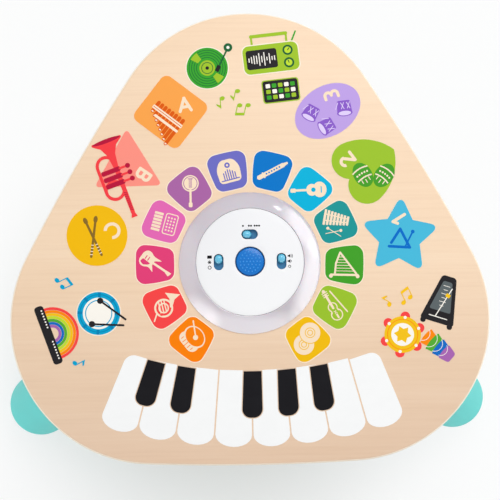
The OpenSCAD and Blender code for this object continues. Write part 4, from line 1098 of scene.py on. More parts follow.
def tile_patch(grow):
    """A tile larger all round by grow; its long edges are cut up first, so that they can swell"""
    inside, outside = TILE_IN - TILE_MIDDLE - grow, TILE_OUT - TILE_MIDDLE + grow
    flat = patch([(-TILE_IN_HALF - grow, inside), (TILE_IN_HALF + grow, inside),
                  (TILE_OUT_HALF + grow, outside), (-TILE_OUT_HALF - grow, outside)],
                 [TILE_IN_ROUND + grow] * 2 + [TILE_OUT_ROUND + grow] * 2, 8)
    bmesh.ops.subdivide_edges(flat, edges=[e for e in flat.edges if e.calc_length() > LONG_EDGE], cuts=7)
    half_w, half_h = (TILE_IN_HALF + TILE_OUT_HALF) / 2 + grow, (outside - inside) / 2
    for vert in flat.verts:
        share_x, share_y = vert.co.x / half_w, vert.co.y / half_h
        vert.co.x += TILE_SWELL * max(0, 1 - share_y ** 2) * max(-1, min(1, share_x))
        vert.co.y += TILE_END_SWELL * max(0, 1 - share_x ** 2) * max(-1, min(1, share_y))
    return flat


tiles = PrintSheet(0, FILM)
halos = PrintSheet(0, FILM / 2)
for color, angle in enumerate(TILE_ANGLES):
    tiles.stencil(0, 0, -angle, color=color)
    tiles.draw(tile_patch(0), 0, TILE_MIDDLE)
    halos.stencil(0, 0, -angle)
    halos.draw(tile_patch(HALO), 0, TILE_MIDDLE)
tiles.finish("colour_tiles", "colour_ink", tile_inks, ["tile_prints"])
halos.finish("tile_halos", "colour_ink", [halo_ink])

# %% [markdown]
# ## Pictures on the tiles
# Each tile shows one instrument in cream, drawn from a few strokes: a child knows a guitar from its two
# round parts and its neck. Sound holes and stripes are drawn over them, in the tile's own ink.
# Each picture is a function that draws on the sheet at the stencil, in cream where it names no ink, and
# each has its own turn on the tile.

# %% Instruments on the right
def recorder(sheet, own):
    sheet.draw(bar(21, 3.6), -10.5, 0)
    sheet.draw(patch([(0, -1.4), (4, -0.8), (4, 0.8), (0, 1.4)], 0.5), 11, 0)
    sheet.draw(block(1.2, 4.8, 0.4), -6.6, 0)
    for step in range(6):
        sheet.draw(disc(0.72, 16), -4 + 2.3 * step, 0, color=own)


def guitar(sheet, own):
    sheet.draw(oval(6.2, 5.4), 0, -8.4)
    sheet.draw(oval(4.7, 4.4), 0, -2.2)
    sheet.draw(bar(12, 1.8), 0, -0.4, 90)
    sheet.draw(block(3.2, 4.4, 1), 0, 12.6)
    sheet.draw(disc(1.8, 24), 0, -3.4, color=own)
    sheet.draw(bar(4.4, 0.9), -2.2, -9.6, color=own)


def xylophone(sheet, own):
    for side in (-1, 1):
        sheet.draw(bar(19, 0.9), -9.5, 3.4 + 2.6 * side, -3.5 * side)
    for step in range(8):
        sheet.draw(block(1.9, 12.6 - 0.75 * step, 0.5), -9 + 2.6 * step, 3.4)
    for side in (-1, 1):
        sheet.draw(bar(12, 0.6), -6 * side, -9.4, 90 - side * 68)
        sheet.draw(disc(1.2, 16), 5.2 * side, -4.9)


def harp(sheet, own):
    sheet.draw(bar(21, 1.7), -10.5, -8)
    sheet.draw(bar(21, 1.5), 9.5, -7, 128)
    sheet.draw(bar(9, 1.5), -7.4, -7.5, 85)
    sheet.draw(bar(9, 1.5), -6.6, 1, 70)
    for step in range(6):
        rise = 2 + 2.2 * step
        sheet.draw(bar(16.5 - 0.91 * rise, 0.5), -7 + 0.12 * rise, -7 + rise)
    for side in (-1, 1):
        sheet.draw(disc(1.5, 20), 10.5 * side, -9)


def violin(sheet, own):
    for radius, y in ((4.8, -6.8), (3.9, -0.2)):
        sheet.draw(disc(radius), -1.6, y)
        sheet.draw(disc(radius - 0.9), -1.6, y, color=own)
    sheet.draw(block(5.4, 4.4, 1), -1.6, -3.2, color=own)
    for side in (-1, 1):
        sheet.draw(arc(1.9, 0.9, -60, 60), -1.6 - 4.5 * side, -3.1, 90 - 90 * side)
        sheet.draw(arc(1.5, 0.5, -60, 60), -1.6 + 1.8 * side, -4.6, 90 + 90 * side)
    sheet.draw(bar(12, 1.9), -1.6, -1, 90)
    sheet.draw(bar(2.6, 1.5), -1.6, -9.4, 90)
    for step in range(3):
        sheet.draw(bar(4, 0.8), -3.6, 9.6 + 1.6 * step)
    sheet.draw(disc(1.3, 24), -1.6, 14)
    sheet.draw(bar(21, 1.1), 6.6, -9, 100)


def cymbals(sheet, own):
    for x, y in ((-2.8, -4.4), (2.8, 4.4)):
        sheet.draw(disc(8.6), x, y, color=own)
        sheet.draw(disc(8), x, y)
        for radius in (2, 3.8):
            sheet.draw(arc(radius, 0.6, 0, 360), x, y, color=own)


print("to print: recorder, guitar, xylophone, harp, violin and cymbals")


# %% Instruments on the left
def drum(sheet, own):
    sheet.draw(patch([(-9, -7), (9, -7), (9, 3), (-9, 3)], 5), 0, -1.6)
    sheet.draw(oval(9.4, 7.6), 0, 2)
    sheet.draw(oval(8.3, 6.5), 0, 2.3, color=own)
    for step in range(5):
        tall = 4 - abs(step - 2)
        sheet.draw(bar(tall, 0.6), -5.6 + 2.8 * step, -8.6 + abs(step - 2), 90, color=own)
    sheet.draw(bar(13, 1.1), 0.8, 2.6, 150)
    sheet.draw(disc(2, 24), 0.8, 2.4)


def horn(sheet, own):
    sheet.draw(disc(7.4), -1.5, -1.5)
    sheet.draw(disc(5.9), -1.5, -1.5, color=own)
    sheet.draw(arc(3.6, 1.1, 0, 360), -1.5, -1.5)
    sheet.draw(patch([(-0.9, 0), (0.9, 0), (2, 6.6), (6, 11), (-6, 11), (-2, 6.6)], 0.4), 4.2, -2.4, -20)
    for step in range(3):
        sheet.draw(bar(9, 1), -4.4 + 2.2 * step, -4.6, 90)
        sheet.draw(bar(1.2, 0.9), -5 + 2.2 * step, -6.6, color=own)
    sheet.draw(bar(6.4, 1.1), -7.6, -4.4, 238)


def bass_guitar(sheet, own):
    body = [(-5.4, -12.6), (5.4, -13), (7, -7.6), (4.4, -3.6), (6.4, 2), (1.8, -1.6), (-1.8, -1.6),
            (-5, 3.6), (-4.6, -3.8), (-7, -8)]
    sheet.draw(patch(body, [3.4, 3.4, 2.2, 1.8, 1.2, 0.6, 0.6, 1.2, 1.8, 2.2]))
    sheet.draw(patch([(1.6, -3.4), (3.4, -4.6), (5.4, -8), (4.2, -11.4), (1, -10.6)], 0.9), color=own)
    sheet.draw(bar(16, 1.8), 0, -5.6, 90)
    sheet.draw(patch([(-0.9, 0), (0.9, 0), (2.4, 4), (-1.2, 5.2)], 0.6), 0, 9.6)
    for step in range(2):
        sheet.draw(bar(2.6, 0.8), -2.2, -9 + 2.4 * step, color=own)


def pocket_organ(sheet, own):
    sheet.draw(block(10.4, 17, 2), 5, 0)
    sheet.draw(block(8.8, 15.4, 1.4), 5, 0, color=own)
    for row in range(5):
        for column in range(3):
            sheet.draw(disc(0.75, 14), 2.6 + 2.4 * column, -5 + 2.5 * row)
    for step in range(6):
        sheet.draw(block(7, 2, 0.4), -5.6, -6.6 + 2.6 * step)


def banjo(sheet, own):
    sheet.draw(disc(6.6), 0, -5)
    sheet.draw(arc(5.3, 0.55, 0, 360), 0, -5, color=own)
    sheet.draw(bar(12, 1.7), 0, 0.5, 90)
    sheet.draw(block(3, 4, 1), 0, 12)
    for step in range(3):
        sheet.draw(bar(7, 0.4), -0.9 + 0.9 * step, -8.6, 90, color=own)
    sheet.draw(bar(3.4, 0.6), -1.7, -8.6, color=own)


def thumb_piano(sheet, own):
    sheet.draw(patch([(-8.6, -9), (8.6, -9), (9.4, 2.6), (5.4, 9.6), (-5.4, 9.6), (-9.4, 2.6)], 3))
    sheet.draw(disc(2.2, 24), 0, 5, color=own)
    sheet.draw(disc(0.9, 16), 0, 5)
    for step, reach in enumerate((5, 6.4, 7.4, 6.8, 5.6, 4.4)):
        sheet.draw(bar(reach, 0.9), -4.4 + 1.8 * step, -6, 90, color=own)
    sheet.draw(bar(14, 0.9), -7, -6.8, color=own)


print("to print: drum, horn, bass guitar, pocket organ, banjo and thumb piano")

# %% Print the twelve instruments
CREAM = len(tile_inks)
INSTRUMENTS = [(recorder, 41), (guitar, 132), (xylophone, 55), (harp, 90), (violin, 148), (cymbals, 148),
               (drum, 166), (horn, -103), (bass_guitar, 145), (pocket_organ, -80), (banjo, 142),
               (thumb_piano, 2)]
PICTURE_SIZE = 1.22
pictures = PrintSheet(FILM, FILM / 2)
for own, ((instrument, turn), angle) in enumerate(zip(INSTRUMENTS, TILE_ANGLES)):
    spot = direction(math.radians(90 - angle), TILE_MIDDLE)
    pictures.stencil(spot.x, spot.y, turn - angle, PICTURE_SIZE, CREAM)
    instrument(pictures, own)
pictures.finish("tile_pictures", "colour_ink", tile_inks + [cream_ink])

# %% [markdown]
# ## The six big shapes
# A square, a triangle, a circle, an oval, a heart and a star carry the first letters and numbers. They
# lie at the places that the frame's own film has, so each is drawn to about its sizes, with its own ink.
# The heart is a round lobe and the wide arc that goes on from it to the tip. A mirror makes the other
# half, and the closed outline is filled.

# %% Six shapes
shape_inks = inks(apricot=(252, 165, 76), coral=(255, 147, 131), sun_yellow=(247, 189, 10),
                  lilac=(192, 162, 230), leaf_lime=(157, 196, 46), sky_blue=(72, 187, 220))
SQUARE_SIDE = 54.4
SQUARE_ROUND = 7
TRIANGLE_SIDE = 65
TRIANGLE_ROUND = 5.2
CIRCLE_R = 29.1
OVAL_HALF = (34.2, 24.3)
HEART_LOBE = 18
HEART_SPREAD = 0.8
HEART_TIP = 2.3
HEART_SIDE_FROM = math.radians(10)
STAR_R = 40.4
STAR_NOTCH = 20.6
STAR_ROUND = 9


def corners(count, *reaches, first=90):
    """Points round a circle, at one distance or at several in turn"""
    return [tuple(direction(math.radians(first + 360 * step / count), reaches[step % len(reaches)]).xy)
            for step in range(count)]


def heart(lobe):
    """A heart with its tip along Y; its lobes of one radius lie spread to both sides of the middle"""
    middle, tip = Vector((HEART_SPREAD * lobe, 0, 0)), Vector((0, HEART_TIP * lobe, 0))
    notch = math.acos(HEART_SPREAD)
    outwards = direction(HEART_SIDE_FROM)
    back = (middle - tip).dot(outwards)
    side_r = ((middle - tip).length_squared + lobe ** 2 + 2 * lobe * back) / (2 * (back + lobe))
    side_middle = middle - (side_r - lobe) * outwards
    side_sweep = math.atan2(tip.y - side_middle.y, tip.x - side_middle.x) - HEART_SIDE_FROM
    flat = bmesh.new()
    vert = flat.verts.new((0, -lobe * math.sin(notch), 0))
    vert = swept(flat, vert, middle, math.pi - notch + HEART_SIDE_FROM, 28)
    swept(flat, vert, side_middle, side_sweep, 16)
    bmesh.ops.mirror(flat, geom=flat.verts[:] + flat.edges[:], matrix=Matrix(), axis="X",
                     merge_dist=MERGE)
    bmesh.ops.edgeloop_fill(flat, edges=flat.edges[:])
    return flat


SHAPES = [(block(SQUARE_SIDE, SQUARE_SIDE, SQUARE_ROUND), (-74, 147.6, 52)),
          (patch(corners(3, TRIANGLE_SIDE / math.sqrt(3)), TRIANGLE_ROUND), (-116, 94.5, 1)),
          (disc(CIRCLE_R, 96), (-146, 28.6)), (oval(*OVAL_HALF), (78, 146.4, 31)),
          (heart(HEART_LOBE), (106.5, 85.4, -57)),
          (patch(corners(10, STAR_R, STAR_NOTCH), [STAR_ROUND, 0] * 5), (144.6, 23, -3.5))]
shapes = PrintSheet(0, FILM)
for color, (outline, place) in enumerate(SHAPES):
    shapes.stencil(*place, color=color)
    shapes.draw(outline)
shapes.finish("big_shapes", "pastel_ink", shape_inks, ["shape_prints"])

# %% [markdown]
# Three letters and three digits go on the shapes in cream. They face outwards in different ways, so
# that children on all sides find one that stands upright. A font would do, but letters this simple are
# quicker to read when they are built of a few fat strokes. Each sign has its place, its straight strokes
# by start, length and turn, and its bent ones by middle, radius and the angles at their ends.

# %% Letters and digits
STROKE = 3
A_STROKES = ((-5.4, -6.2, 13.6, 66), (5.4, -6.2, 13.6, 114), (-3, -2.4, 6, 0))
SIGNS = {
    "A": ((-60.2, 154.6, 8), A_STROKES, ()),
    "B": ((-101, 86.2, -125), ((-4, -6.2, 12.4, 90), (-4, 6.2, 4, 0), (-4, 0, 4.4, 0), (-4, -6.2, 4.4, 0)),
          ((0, 3.1, 3.1, -92, 92), (0.4, -3.1, 3.1, -92, 92))),
    "C": ((-131.5, 33, -135), (), ((0, 0, 6.6, 45, 315),)),
    "3": ((81.7, 162.2, 108), ((-3.2, 6.4, 2.8, 0), (-0.6, 0, 0.8, 0), (-3.2, -6.4, 2.8, 0)),
          ((-0.4, 3.2, 3.2, -92, 92), (-0.4, -3.2, 3.2, -92, 92))),
    "2": ((95.9, 98.3, 126), ((-4.4, -6.2, 9.2, 0), (-4.2, -5.6, 9.6, 47)), ((-0.2, 3, 3.7, -22, 165),)),
    "1": ((144.6, 40.3, 121), ((0.8, -6.6, 13.2, 90), (0.8, 6.4, 4.6, 216)), ()),
}
signs = PrintSheet(FILM, FILM / 2)
for place, straight, bent in SIGNS.values():
    signs.stencil(*place)
    for x, y, length, turn in straight:
        signs.draw(bar(length, STROKE), x, y, turn)
    for x, y, radius, start, end in bent:
        signs.draw(arc(radius, STROKE, start, end), x, y)
signs.finish("shape_signs", "pastel_ink", [cream_ink])

# %% [markdown]
# Beside its sign every shape has something that makes music: pan pipes, a red trumpet that reaches over
# its triangle, drumsticks, three little drums, two egg shakers and one steel triangle. They are built of
# the same strokes as the tiles' pictures, with more colours.

# %% Inks, pipes, trumpet and drumsticks
motif_inks = inks(burnt_orange=(224, 92, 12), signal_red=(248, 64, 70), wine=(186, 18, 58),
                  umber=(138, 106, 40), deep_lilac=(138, 92, 200), pale_lilac=(226, 208, 248),
                  leaf_green=(70, 158, 40), royal_blue=(0, 108, 200), warm_cream=(255, 232, 206))
ORANGE, RED, WINE, UMBER, LILAC, PALE, GREEN, BLUE, WARM = range(len(motif_inks))


def pan_pipes(sheet):
    for step in range(8):
        sheet.draw(bar(24 - 2.2 * step, 3.1), -12.6 + 3.6 * step, -9, 90, color=ORANGE)
        sheet.draw(oval(1, 0.6), -12.6 + 3.6 * step, 15.2 - 2.2 * step, color=WARM)
    sheet.draw(block(30, 3.2, 0.8), 0, -4, color=WARM)
    sheet.draw(block(29, 0.6), 0, -4, color=ORANGE)
    sheet.draw(block(24, 2.2, 0.8), -2.6, 1.4, color=WARM)


def trumpet(sheet):
    sheet.draw(patch([(-36, -15), (-34, -15), (-29, -8), (-21, -4), (-8, -2.4), (40, -1.9), (40, 1.9),
                      (-8, 2.4), (-21, 4), (-29, 8), (-34, 15), (-36, 15)], 0.9), color=RED)
    sheet.draw(oval(2, 14), -35, 0, color=WINE)
    for side in (-1, 1):
        sheet.draw(arc(8.6, 3, -90, 90), 13, -8.6, 90 - 90 * side, color=RED)
        sheet.draw(block(26, 3), 1, -8.6 + 8.6 * side, color=RED)
    sheet.draw(arc(8.6, 3, 90, 270), -12, -8.6, color=RED)
    for step in range(3):
        sheet.draw(block(4.6, 19, 1.4), -5.6 + 6.6 * step, -6, color=WINE)
        sheet.draw(bar(7, 2.2), -5.6 + 6.6 * step, 3, 90, color=RED)
        sheet.draw(disc(2.4, 24), -5.6 + 6.6 * step, 11, color=WINE)
    for step in range(9):
        sheet.draw(bar(3, 0.8), 18 + 2.1 * step, -1.4, 62, color=WINE)
    sheet.draw(patch([(0, -1.6), (4, -3.2), (4, 3.2), (0, 1.6)], 0.5), 39.5, 0, color=RED)


def drumsticks(sheet):
    for side in (-1, 1):
        lean = 90 + 16 * side
        reach = direction(math.radians(lean), 36)
        sheet.draw(bar(36, 2.3), 5 * side, -18, lean, color=UMBER)
        sheet.draw(oval(2, 3.4), 5 * side + reach.x, -18 + reach.y, lean - 90, color=UMBER)
        for step in range(4):
            spot = direction(math.radians(lean), 2 + 3 * step)
            sheet.draw(block(2.3, 0.8), 5 * side + spot.x, -18 + spot.y, lean - 90, color=WARM)


print("inks for the things beside the signs:", len(motif_inks))


# %% Small drum, egg shaker and steel triangle
def small_drum(sheet):
    sheet.draw(patch([(-5.6, 4), (-4.8, -5.4), (4.8, -5.4), (5.6, 4)], 1.2), color=LILAC)
    sheet.draw(oval(5.8, 2.5), 0, 4, color=LILAC)
    sheet.draw(oval(4.7, 1.7), 0, 4.2, color=PALE)
    for step in range(5):
        sheet.draw(bar(5, 0.55), -4.4 + 2.2 * step, -3.8 if step % 2 else -3.9, 90 - 24 * (-1) ** step,
                   color=PALE)


def egg_shaker(sheet):
    sheet.draw(oval(8.4, 11.8), color=GREEN)
    for side in (-1, 1):
        sheet.draw(arc(22, 1.2, 70 - side, 110 + side), 0, -20 + 4.4 * side, color=WARM)
    for step in range(5):
        sheet.draw(disc(0.9, 16), -5.2 + 2.6 * step, 1.7 - 0.14 * (step - 2) ** 2, color=WARM)
    for step in range(3):
        sheet.draw(bar(3, 0.8), -3.6 + 3.6 * step, -8 + (step - 1) ** 2, 90, color=WARM)


def steel_triangle(sheet):
    for turn in (0, 120, 240):
        start = direction(math.radians(turn - 150), 10.5)
        sheet.draw(bar(14.4 if turn == 240 else 18.2, 2.4), start.x, start.y, turn, color=BLUE)
    sheet.draw(bar(15, 1.5), 5, -5, 66, color=BLUE)
    sheet.draw(disc(1.6, 24), 11.1, 8.7, color=BLUE)


print("to print: small drum, egg shaker and steel triangle")

# %% Print the things beside the signs
MOTIFS = [(pan_pipes, (-80, 139.5, 142, 1.16)), (trumpet, (-124.5, 87, -70)), (drumsticks, (-149.5, 27, 9)),
          (small_drum, (61.8, 145, 150, 1.3)), (small_drum, (94, 149.4, 186, 1.3)),
          (small_drum, (77, 131.6, 120, 1.3)), (egg_shaker, (110.6, 83.4, 30, 1.06)),
          (egg_shaker, (131, 82.6, -38, 1.06)), (steel_triangle, (144.5, 19, -4, 1.1))]
motifs = PrintSheet(FILM, FILM / 2)
for motif, place in MOTIFS:
    motifs.picture(motif, *place)
motifs.finish("shape_motifs", "pastel_ink", motif_inks)

# %% [markdown]
# ## Pictures in the corners
# Each corner of the table has its own group of things to play with, in the colours of that side, and a
# few notes that fly off. A pale line goes round the record, the radio and the drum, as a second form
# below each.

# %% Colours and notes for the corners
corner_inks = inks(meadow_green=(56, 164, 44), moss=(24, 96, 52), fresh_lime=(160, 196, 44),
                   soot=(34, 32, 35), chalk=(255, 250, 240), pool_blue=(0, 164, 208),
                   sea_blue=(0, 130, 180), poppy=(250, 70, 70), plum=(170, 102, 178),
                   cobalt=(20, 108, 196), grass=(84, 172, 52), citrus=(196, 224, 52), gold=(248, 196, 24),
                   tangerine=(255, 138, 10), slate=(94, 102, 104), pale_line=(255, 240, 220))
(MEADOW, MOSS, LIME, SOOT, CHALK, POOL, SEA, POPPY, PLUM, COBALT, GRASS, CITRUS, GOLD, TANGERINE, SLATE,
 LINE) = range(len(corner_inks))
corner_prints = PrintSheet(0, FILM)


def one_note(sheet):
    """A quaver: a head, a stem and a flag"""
    sheet.draw(oval(2.5, 2), 0, 0, 18)
    sheet.draw(bar(9, 0.9), 2, 0.4, 90)
    sheet.draw(patch([(0, 0), (3.6, -2.6), (4.2, -4.6), (0, -2.6)], 0.5), 2, 9.6)


def two_notes(sheet):
    """Two heads under one beam"""
    for side in (-1, 1):
        sheet.draw(oval(2.5, 2), 4 * side, side, 18)
        sheet.draw(bar(9, 0.9), 4 * side + 2, side + 0.4, 90)
    sheet.draw(patch([(-4.4, -1.6), (4.4, 0.4), (4.4, 3), (-4.4, 1)], 0.3), 2, 8.6)


print("inks for the corners:", len(corner_inks))

# %% [markdown]
# The far corner has a record on its turntable, a small radio and a box with pads. Grooves are rings, and
# the bars on the radio's display follow a sine, so they look like a sound.

# %% Far corner
RECORD_R = 20
RADIO = (54, 28)


def record_player(sheet):
    sheet.draw(disc(RECORD_R + 1, 72), color=LINE)
    sheet.draw(disc(RECORD_R, 72), color=MEADOW)
    for step in range(4):
        sheet.draw(arc(RECORD_R - 2.4 - 2.4 * step, 0.6, 0, 360), color=MOSS)
    for side in (-1, 1):
        sheet.draw(arc(RECORD_R - 6, 8, -14, 14), 0, 0, 40 + 90 * side, color=LIME)
    sheet.draw(disc(7.6, 48), color=LIME)
    sheet.draw(arc(5.4, 0.7, 0, 360), color=MOSS)
    sheet.draw(disc(1.7, 24), color=SOOT)
    sheet.draw(disc(4.2, 32), 23, 17, color=MOSS)
    sheet.draw(bar(24, 1.7), 23, 17, 236, color=MOSS)
    sheet.draw(block(6.4, 4, 0.8), 10.2, -2, 236, color=SOOT)
    sheet.draw(disc(1.5, 24), 23, 17, color=CHALK)


def small_radio(sheet):
    width, height = RADIO
    for side in (-1, 1):
        sheet.draw(bar(11, 2), 17 * side, height / 2 - 2, 90, color=LIME)
    sheet.draw(bar(34, 3.4), -17, height / 2 + 9, color=LIME)
    sheet.draw(bar(12, 1.6), 21, height / 2 - 1, 62, color=MEADOW)
    sheet.draw(block(width + 2, height + 2, 6.5), color=LINE)
    sheet.draw(block(width, height, 6), color=LIME)
    sheet.draw(block(30, 19, 2.4), -9, 0, color=SOOT)
    for step in range(11):
        tall = 2 + 11 * abs(math.sin(1.7 * step + 0.6)) * math.sin(math.pi * (step + 0.6) / 11.2)
        sheet.draw(bar(tall, 1), -21.4 + 2.5 * step, -tall / 2, 90, color=CHALK)
    for step in range(2):
        sheet.draw(disc(5, 40), 17, 6.2 - 12.4 * step, color=MOSS)
        sheet.draw(disc(3.2, 32), 17, 6.2 - 12.4 * step, color=CITRUS)
        sheet.draw(bar(2.4, 0.9), 17, 6.2 - 12.4 * step, 50 + 60 * step, color=MOSS)


def pad_box(sheet):
    sheet.draw(block(36, 23, 3), color=LIME)
    sheet.draw(block(34, 21, 2.4), color=SOOT)
    for column in range(5):
        for row in range(3):
            color = (CHALK, LIME, MEADOW)[(2 * column + row) % 3]
            sheet.draw(block(4.4, 4, 0.8), -12 + 6 * column, 5.6 - 5.6 * row, color=color)


corner_prints.picture(record_player, -38, 190, 8)
corner_prints.picture(small_radio, 24, 199, 6)
corner_prints.picture(pad_box, 33, 167, 6)
corner_prints.picture(one_note, -24, 160, 184, color=LIME)
corner_prints.picture(one_note, -9, 167, 168, color=LIME)
corner_prints.picture(two_notes, -3, 153, 166, color=LIME)
print("record, radio and pad box drawn")

# %% [markdown]
# The near left corner has a blue drum with its two sticks and a rainbow of chime tubes on a black stand:
# seven half rings, each in its own ink, from the outside in.

# %% Near left corner
DRUM_R = 20.5
RAINBOW_R = 24
RAINBOW_STEP = 2.8
RAINBOW = (POPPY, TANGERINE, GOLD, CITRUS, GRASS, COBALT, PLUM)


def blue_drum(sheet):
    sheet.draw(disc(DRUM_R + 1, 72), color=LINE)
    sheet.draw(disc(DRUM_R, 72), color=POOL)
    sheet.draw(arc(DRUM_R - 2.6, 0.8, 0, 360), color=SEA)
    sheet.draw(disc(DRUM_R - 5.4, 64), color=CHALK)
    sheet.draw(arc(DRUM_R - 8, 1, 0, 360), color=POOL)
    for step in range(8):
        lug = direction(math.tau * step / 8 + 0.3, DRUM_R - 2.6)
        sheet.draw(block(4.6, 2.6, 0.6), lug.x, lug.y, 45 * step + 17, color=SEA)
    for side in (-1, 1):
        lean = 90 - 17 * side
        head = direction(math.radians(lean), 30)
        sheet.draw(bar(30, 1.9), 3 * side, -26, lean, color=SOOT)
        sheet.draw(disc(3, 32), 3 * side + head.x, -26 + head.y, color=SOOT)


def rainbow_chimes(sheet):
    for step, color in enumerate(RAINBOW):
        sheet.draw(arc(RAINBOW_R - RAINBOW_STEP * step, 2.5, 0, 180), 0, 4, color=color)
    sheet.draw(block(58, 9, 3), 0, 0, color=SOOT)
    for step in range(7):
        for side in (-1, 1):
            sheet.draw(disc(0.8, 16), side * (RAINBOW_R - RAINBOW_STEP * step), 1.8, color=CHALK)


corner_prints.picture(blue_drum, -145, -46, 70)
corner_prints.picture(rainbow_chimes, -193, -66, -70)
corner_prints.picture(two_notes, -182, -17, -66, color=POOL)
corner_prints.picture(one_note, -168, -93, -62, color=POOL)
print("drum and rainbow drawn")

# %% [markdown]
# The near right corner has a yellow tambourine with red jingles, four nested cups and a black metronome.

# %% Near right corner
TAMBOURINE_R = 17.5
CUPS = ((TANGERINE, 8.4), (GRASS, 9.6), (COBALT, 8.8), (PLUM, 7.8))


def tambourine(sheet):
    for step in range(6):
        jingle = direction(math.tau * step / 6, TAMBOURINE_R)
        sheet.draw(disc(4.6, 32), jingle.x, jingle.y, color=POPPY)
    sheet.draw(disc(TAMBOURINE_R, 72), color=GOLD)
    sheet.draw(arc(TAMBOURINE_R - 3, 0.7, 0, 360), color=TANGERINE)
    for step in range(6):
        jingle = direction(math.tau * step / 6, TAMBOURINE_R - 1)
        sheet.draw(disc(1.5, 20), jingle.x, jingle.y, color=CHALK)
    sheet.draw(disc(TAMBOURINE_R - 6.6, 56), color=CHALK)
    sheet.draw(patch(corners(12, 8.6, 5.4), 0.5), color=GOLD)


def nested_cups(sheet):
    for step, (color, half) in enumerate(CUPS):
        sheet.draw(patch([(-half, 5), (half, 5), (0.68 * half, -5), (-0.68 * half, -5)], 2), 0, -7.6 * step,
                   color=color)
        sheet.draw(oval(half, 2), 0, 4.4 - 7.6 * step, color=color)
        sheet.draw(arc(half - 1.4, 0.5, 200, 340), 0, 9 - 7.6 * step, color=CHALK)


def metronome(sheet):
    sheet.draw(patch([(-19, -25), (19, -25), (8, 27), (-8, 27)], 3.4), color=SOOT)
    sheet.draw(patch([(-12, -12), (12, -12), (5, 21), (-5, 21)], 2), color=SLATE)
    for step in range(6):
        sheet.draw(bar(4 + step % 2 * 3, 0.6), -2 - step % 2 * 1.5, -6 + 4.4 * step, color=CHALK)
    sheet.draw(bar(34, 1.1), -3, -18, 74, color=CHALK)
    sheet.draw(block(5, 4, 0.8), 4, 6.4, -16, color=GOLD)
    sheet.draw(bar(20, 1), -10, -19, color=CHALK)
    for side in (-1, 1):
        sheet.draw(disc(3, 24), 15 * side, -26, color=SOOT)


corner_prints.picture(tambourine, 145, -71, 20)
corner_prints.picture(nested_cups, 171, -76, 48)
corner_prints.picture(metronome, 184.5, -39, -18, 0.88)
corner_prints.picture(one_note, 133, -42, 60, color=GOLD)
corner_prints.picture(two_notes, 150, -38, 24, color=GOLD)
corner_prints.finish("corner_pictures", "colour_ink", corner_inks)

# %% [markdown]
# ## Marks beside the sliders
# Three small marks beside each slot tell its three rests: dots for the first slider, a ring, a star and
# a block for the second, and a ring and a speaker with one or two waves for the third. The cap is
# crowned, so the marks are drawn flat and each point is then lifted to the height of the crown below it.
# The cap's highest line is the edge of the button's bore.

# %% Slider marks
CAP_R = (cap_high.x - cap_low.x) / 2
CAP_CROWN = 4.4
BUTTON_BORE_R = 14.3
cap_sphere_r = (CAP_R ** 2 + CAP_CROWN ** 2) / (2 * CAP_CROWN)
cap_sphere_z = cap_high.z - table_h - math.sqrt(cap_sphere_r ** 2 - BUTTON_BORE_R ** 2)
MARK_T = 0.06
REST_PITCH = 5
DOTS_AT = (-6.2, 34.2)
DOTS_PITCH = 6.6
DOT_MARK_R = 0.9
DOT_MARK_PITCH = 2.1
LEFT_MARKS_X = -38.4
RIGHT_MARKS_X = 37.4


def crown_height(vert):
    """How high the cap's crown is below a point, over the wood"""
    return cap_sphere_z + math.sqrt(cap_sphere_r ** 2 - vert.co.xy.length_squared)


def mode_mark(sheet, rest):
    """A ring, a star of four strokes or a block"""
    if rest == 0:
        sheet.draw(arc(1.5, 0.55, 0, 360))
    elif rest == 1:
        for turn in range(0, 180, 45):
            sheet.draw(bar(3.2, 0.5), *direction(math.radians(turn), -1.6).xy, turn)
    else:
        sheet.draw(block(4.4, 2.9, 0.4))


def loudness_mark(sheet, rest):
    """A ring, or a speaker with as many waves as the rest's number"""
    if rest == 0:
        sheet.draw(arc(1.1, 0.5, 0, 360))
        return
    sheet.draw(patch([(-1.7, -0.7), (-0.6, -0.7), (0.8, -1.8), (0.8, 1.8), (-0.6, 0.7), (-1.7, 0.7)], 0.15))
    for wave in range(rest):
        sheet.draw(arc(1.6 + 1.1 * wave, 0.45, -42, 42), 0.2, 0)


marks = PrintSheet(0, MARK_T)
for rest in range(3):
    marks.stencil(DOTS_AT[0] + DOTS_PITCH * rest, DOTS_AT[1])
    for dot in range(rest + 1):
        marks.draw(disc(DOT_MARK_R, 20), DOT_MARK_PITCH * (dot - rest / 2))
for rest in range(3):
    marks.stencil(LEFT_MARKS_X, REST_PITCH * (rest - 1))
    mode_mark(marks, rest)
    marks.stencil(RIGHT_MARKS_X, REST_PITCH * (rest - 1))
    loudness_mark(marks, rest)
for vert in marks.shape.verts:
    vert.co.z += crown_height(vert)
marks.finish("slider_marks", "black_ink", [black_ink])

# %% [markdown]
# ## Floor
# A pale floor that keeps the table's soft shadow. For the camera a share of it is white light of its
# own and the rest is a plain matt white that catches the shadow. The share is small where the shadow
# lies, on the child's side, grows quickly from there, and is all of it far from the table, where the
# floor melts into the white surround: each of its two steps has two distances in metres and two shares.
# So the pool near the child's side is the real shadow deepened by painted shadow, and on the other
# sides the painted own light covers most of the real shadow.
# From below the floor is clear, so that one can look at the underside of the table.

# %% Floor
FLOOR_DROP = -0.0003
FLOOR_HALF = 20
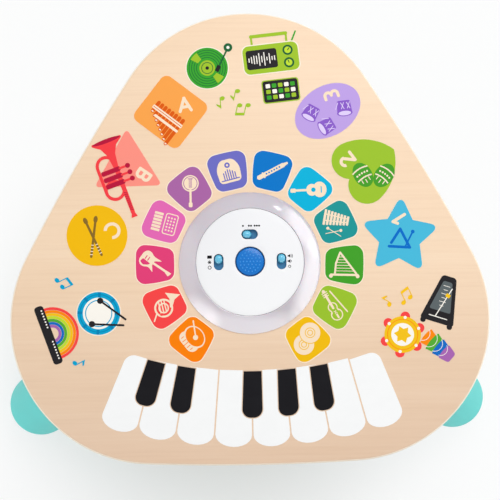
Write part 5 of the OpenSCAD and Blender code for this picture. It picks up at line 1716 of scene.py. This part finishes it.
# painted shadow: the floor's own light is small round this point on the child's side
SHADOW_MIDDLE = (-0.03, -0.12, 0)
OWN_LIGHT_STEPS = ((0.1, 0.32, 0.1, 0.84), (0.25, 0.9, 0, 1))


def own_light(finish):
    """The share of light of its own by the distance from the shadow: the larger of two slow steps"""
    where = add_node(finish, "TexCoord")
    distance = add_node(finish, "VectorMath", {"operation": "DISTANCE"}, {1: SHADOW_MIDDLE},
                        {0: where.outputs["Object"]})
    larger = add_node(finish, "Math", {"operation": "MAXIMUM"})
    for socket, (near, far, low, high) in zip(larger.inputs, OWN_LIGHT_STEPS):
        step = add_node(finish, "MapRange", {"interpolation_type": "SMOOTHSTEP"},
                        {"From Min": near, "From Max": far, "To Min": low, "To Max": high},
                        {"Value": distance.outputs["Value"]})
        finish.node_tree.links.new(step.outputs[0], socket)
    return larger.outputs[0]


def studio_floor():
    """Matt white with light of its own from above, and clear from below"""
    finish = new_finish("studio_floor", (244, 247, 247), 0.9)
    matt_white = finish.node_tree.nodes["Principled BSDF"]
    glow = add_node(finish, "Emission", values={"Color": WHITE, "Strength": 1.0})
    share = add_node(finish, "Math", {"operation": "MULTIPLY"},
                     inputs={0: seen_rays(finish), 1: own_light(finish)})
    above = add_node(finish, "MixShader", inputs={"Fac": share.outputs[0], 1: matt_white.outputs[0],
                                                  2: glow.outputs[0]})
    face = add_node(finish, "NewGeometry")
    clear = add_node(finish, "BsdfTransparent")
    one_sided = add_node(finish, "MixShader", inputs={"Fac": face.outputs["Backfacing"],
                                                      1: above.outputs[0], 2: clear.outputs[0]})
    show(finish, one_sided.outputs[0])
    return finish


floor_shape = bmesh.new()
bmesh.ops.create_grid(floor_shape, x_segments=1, y_segments=1, size=FLOOR_HALF,
                      matrix=Matrix.Translation((0, 0, FLOOR_DROP)))
floor_mesh = bpy.data.meshes.new("floor")
floor_shape.to_mesh(floor_mesh)
floor_shape.free()
floor_mesh.materials.append(studio_floor())
floor = bpy.data.objects.new("floor", floor_mesh)
scene.collection.objects.link(floor)
print("floor laid")
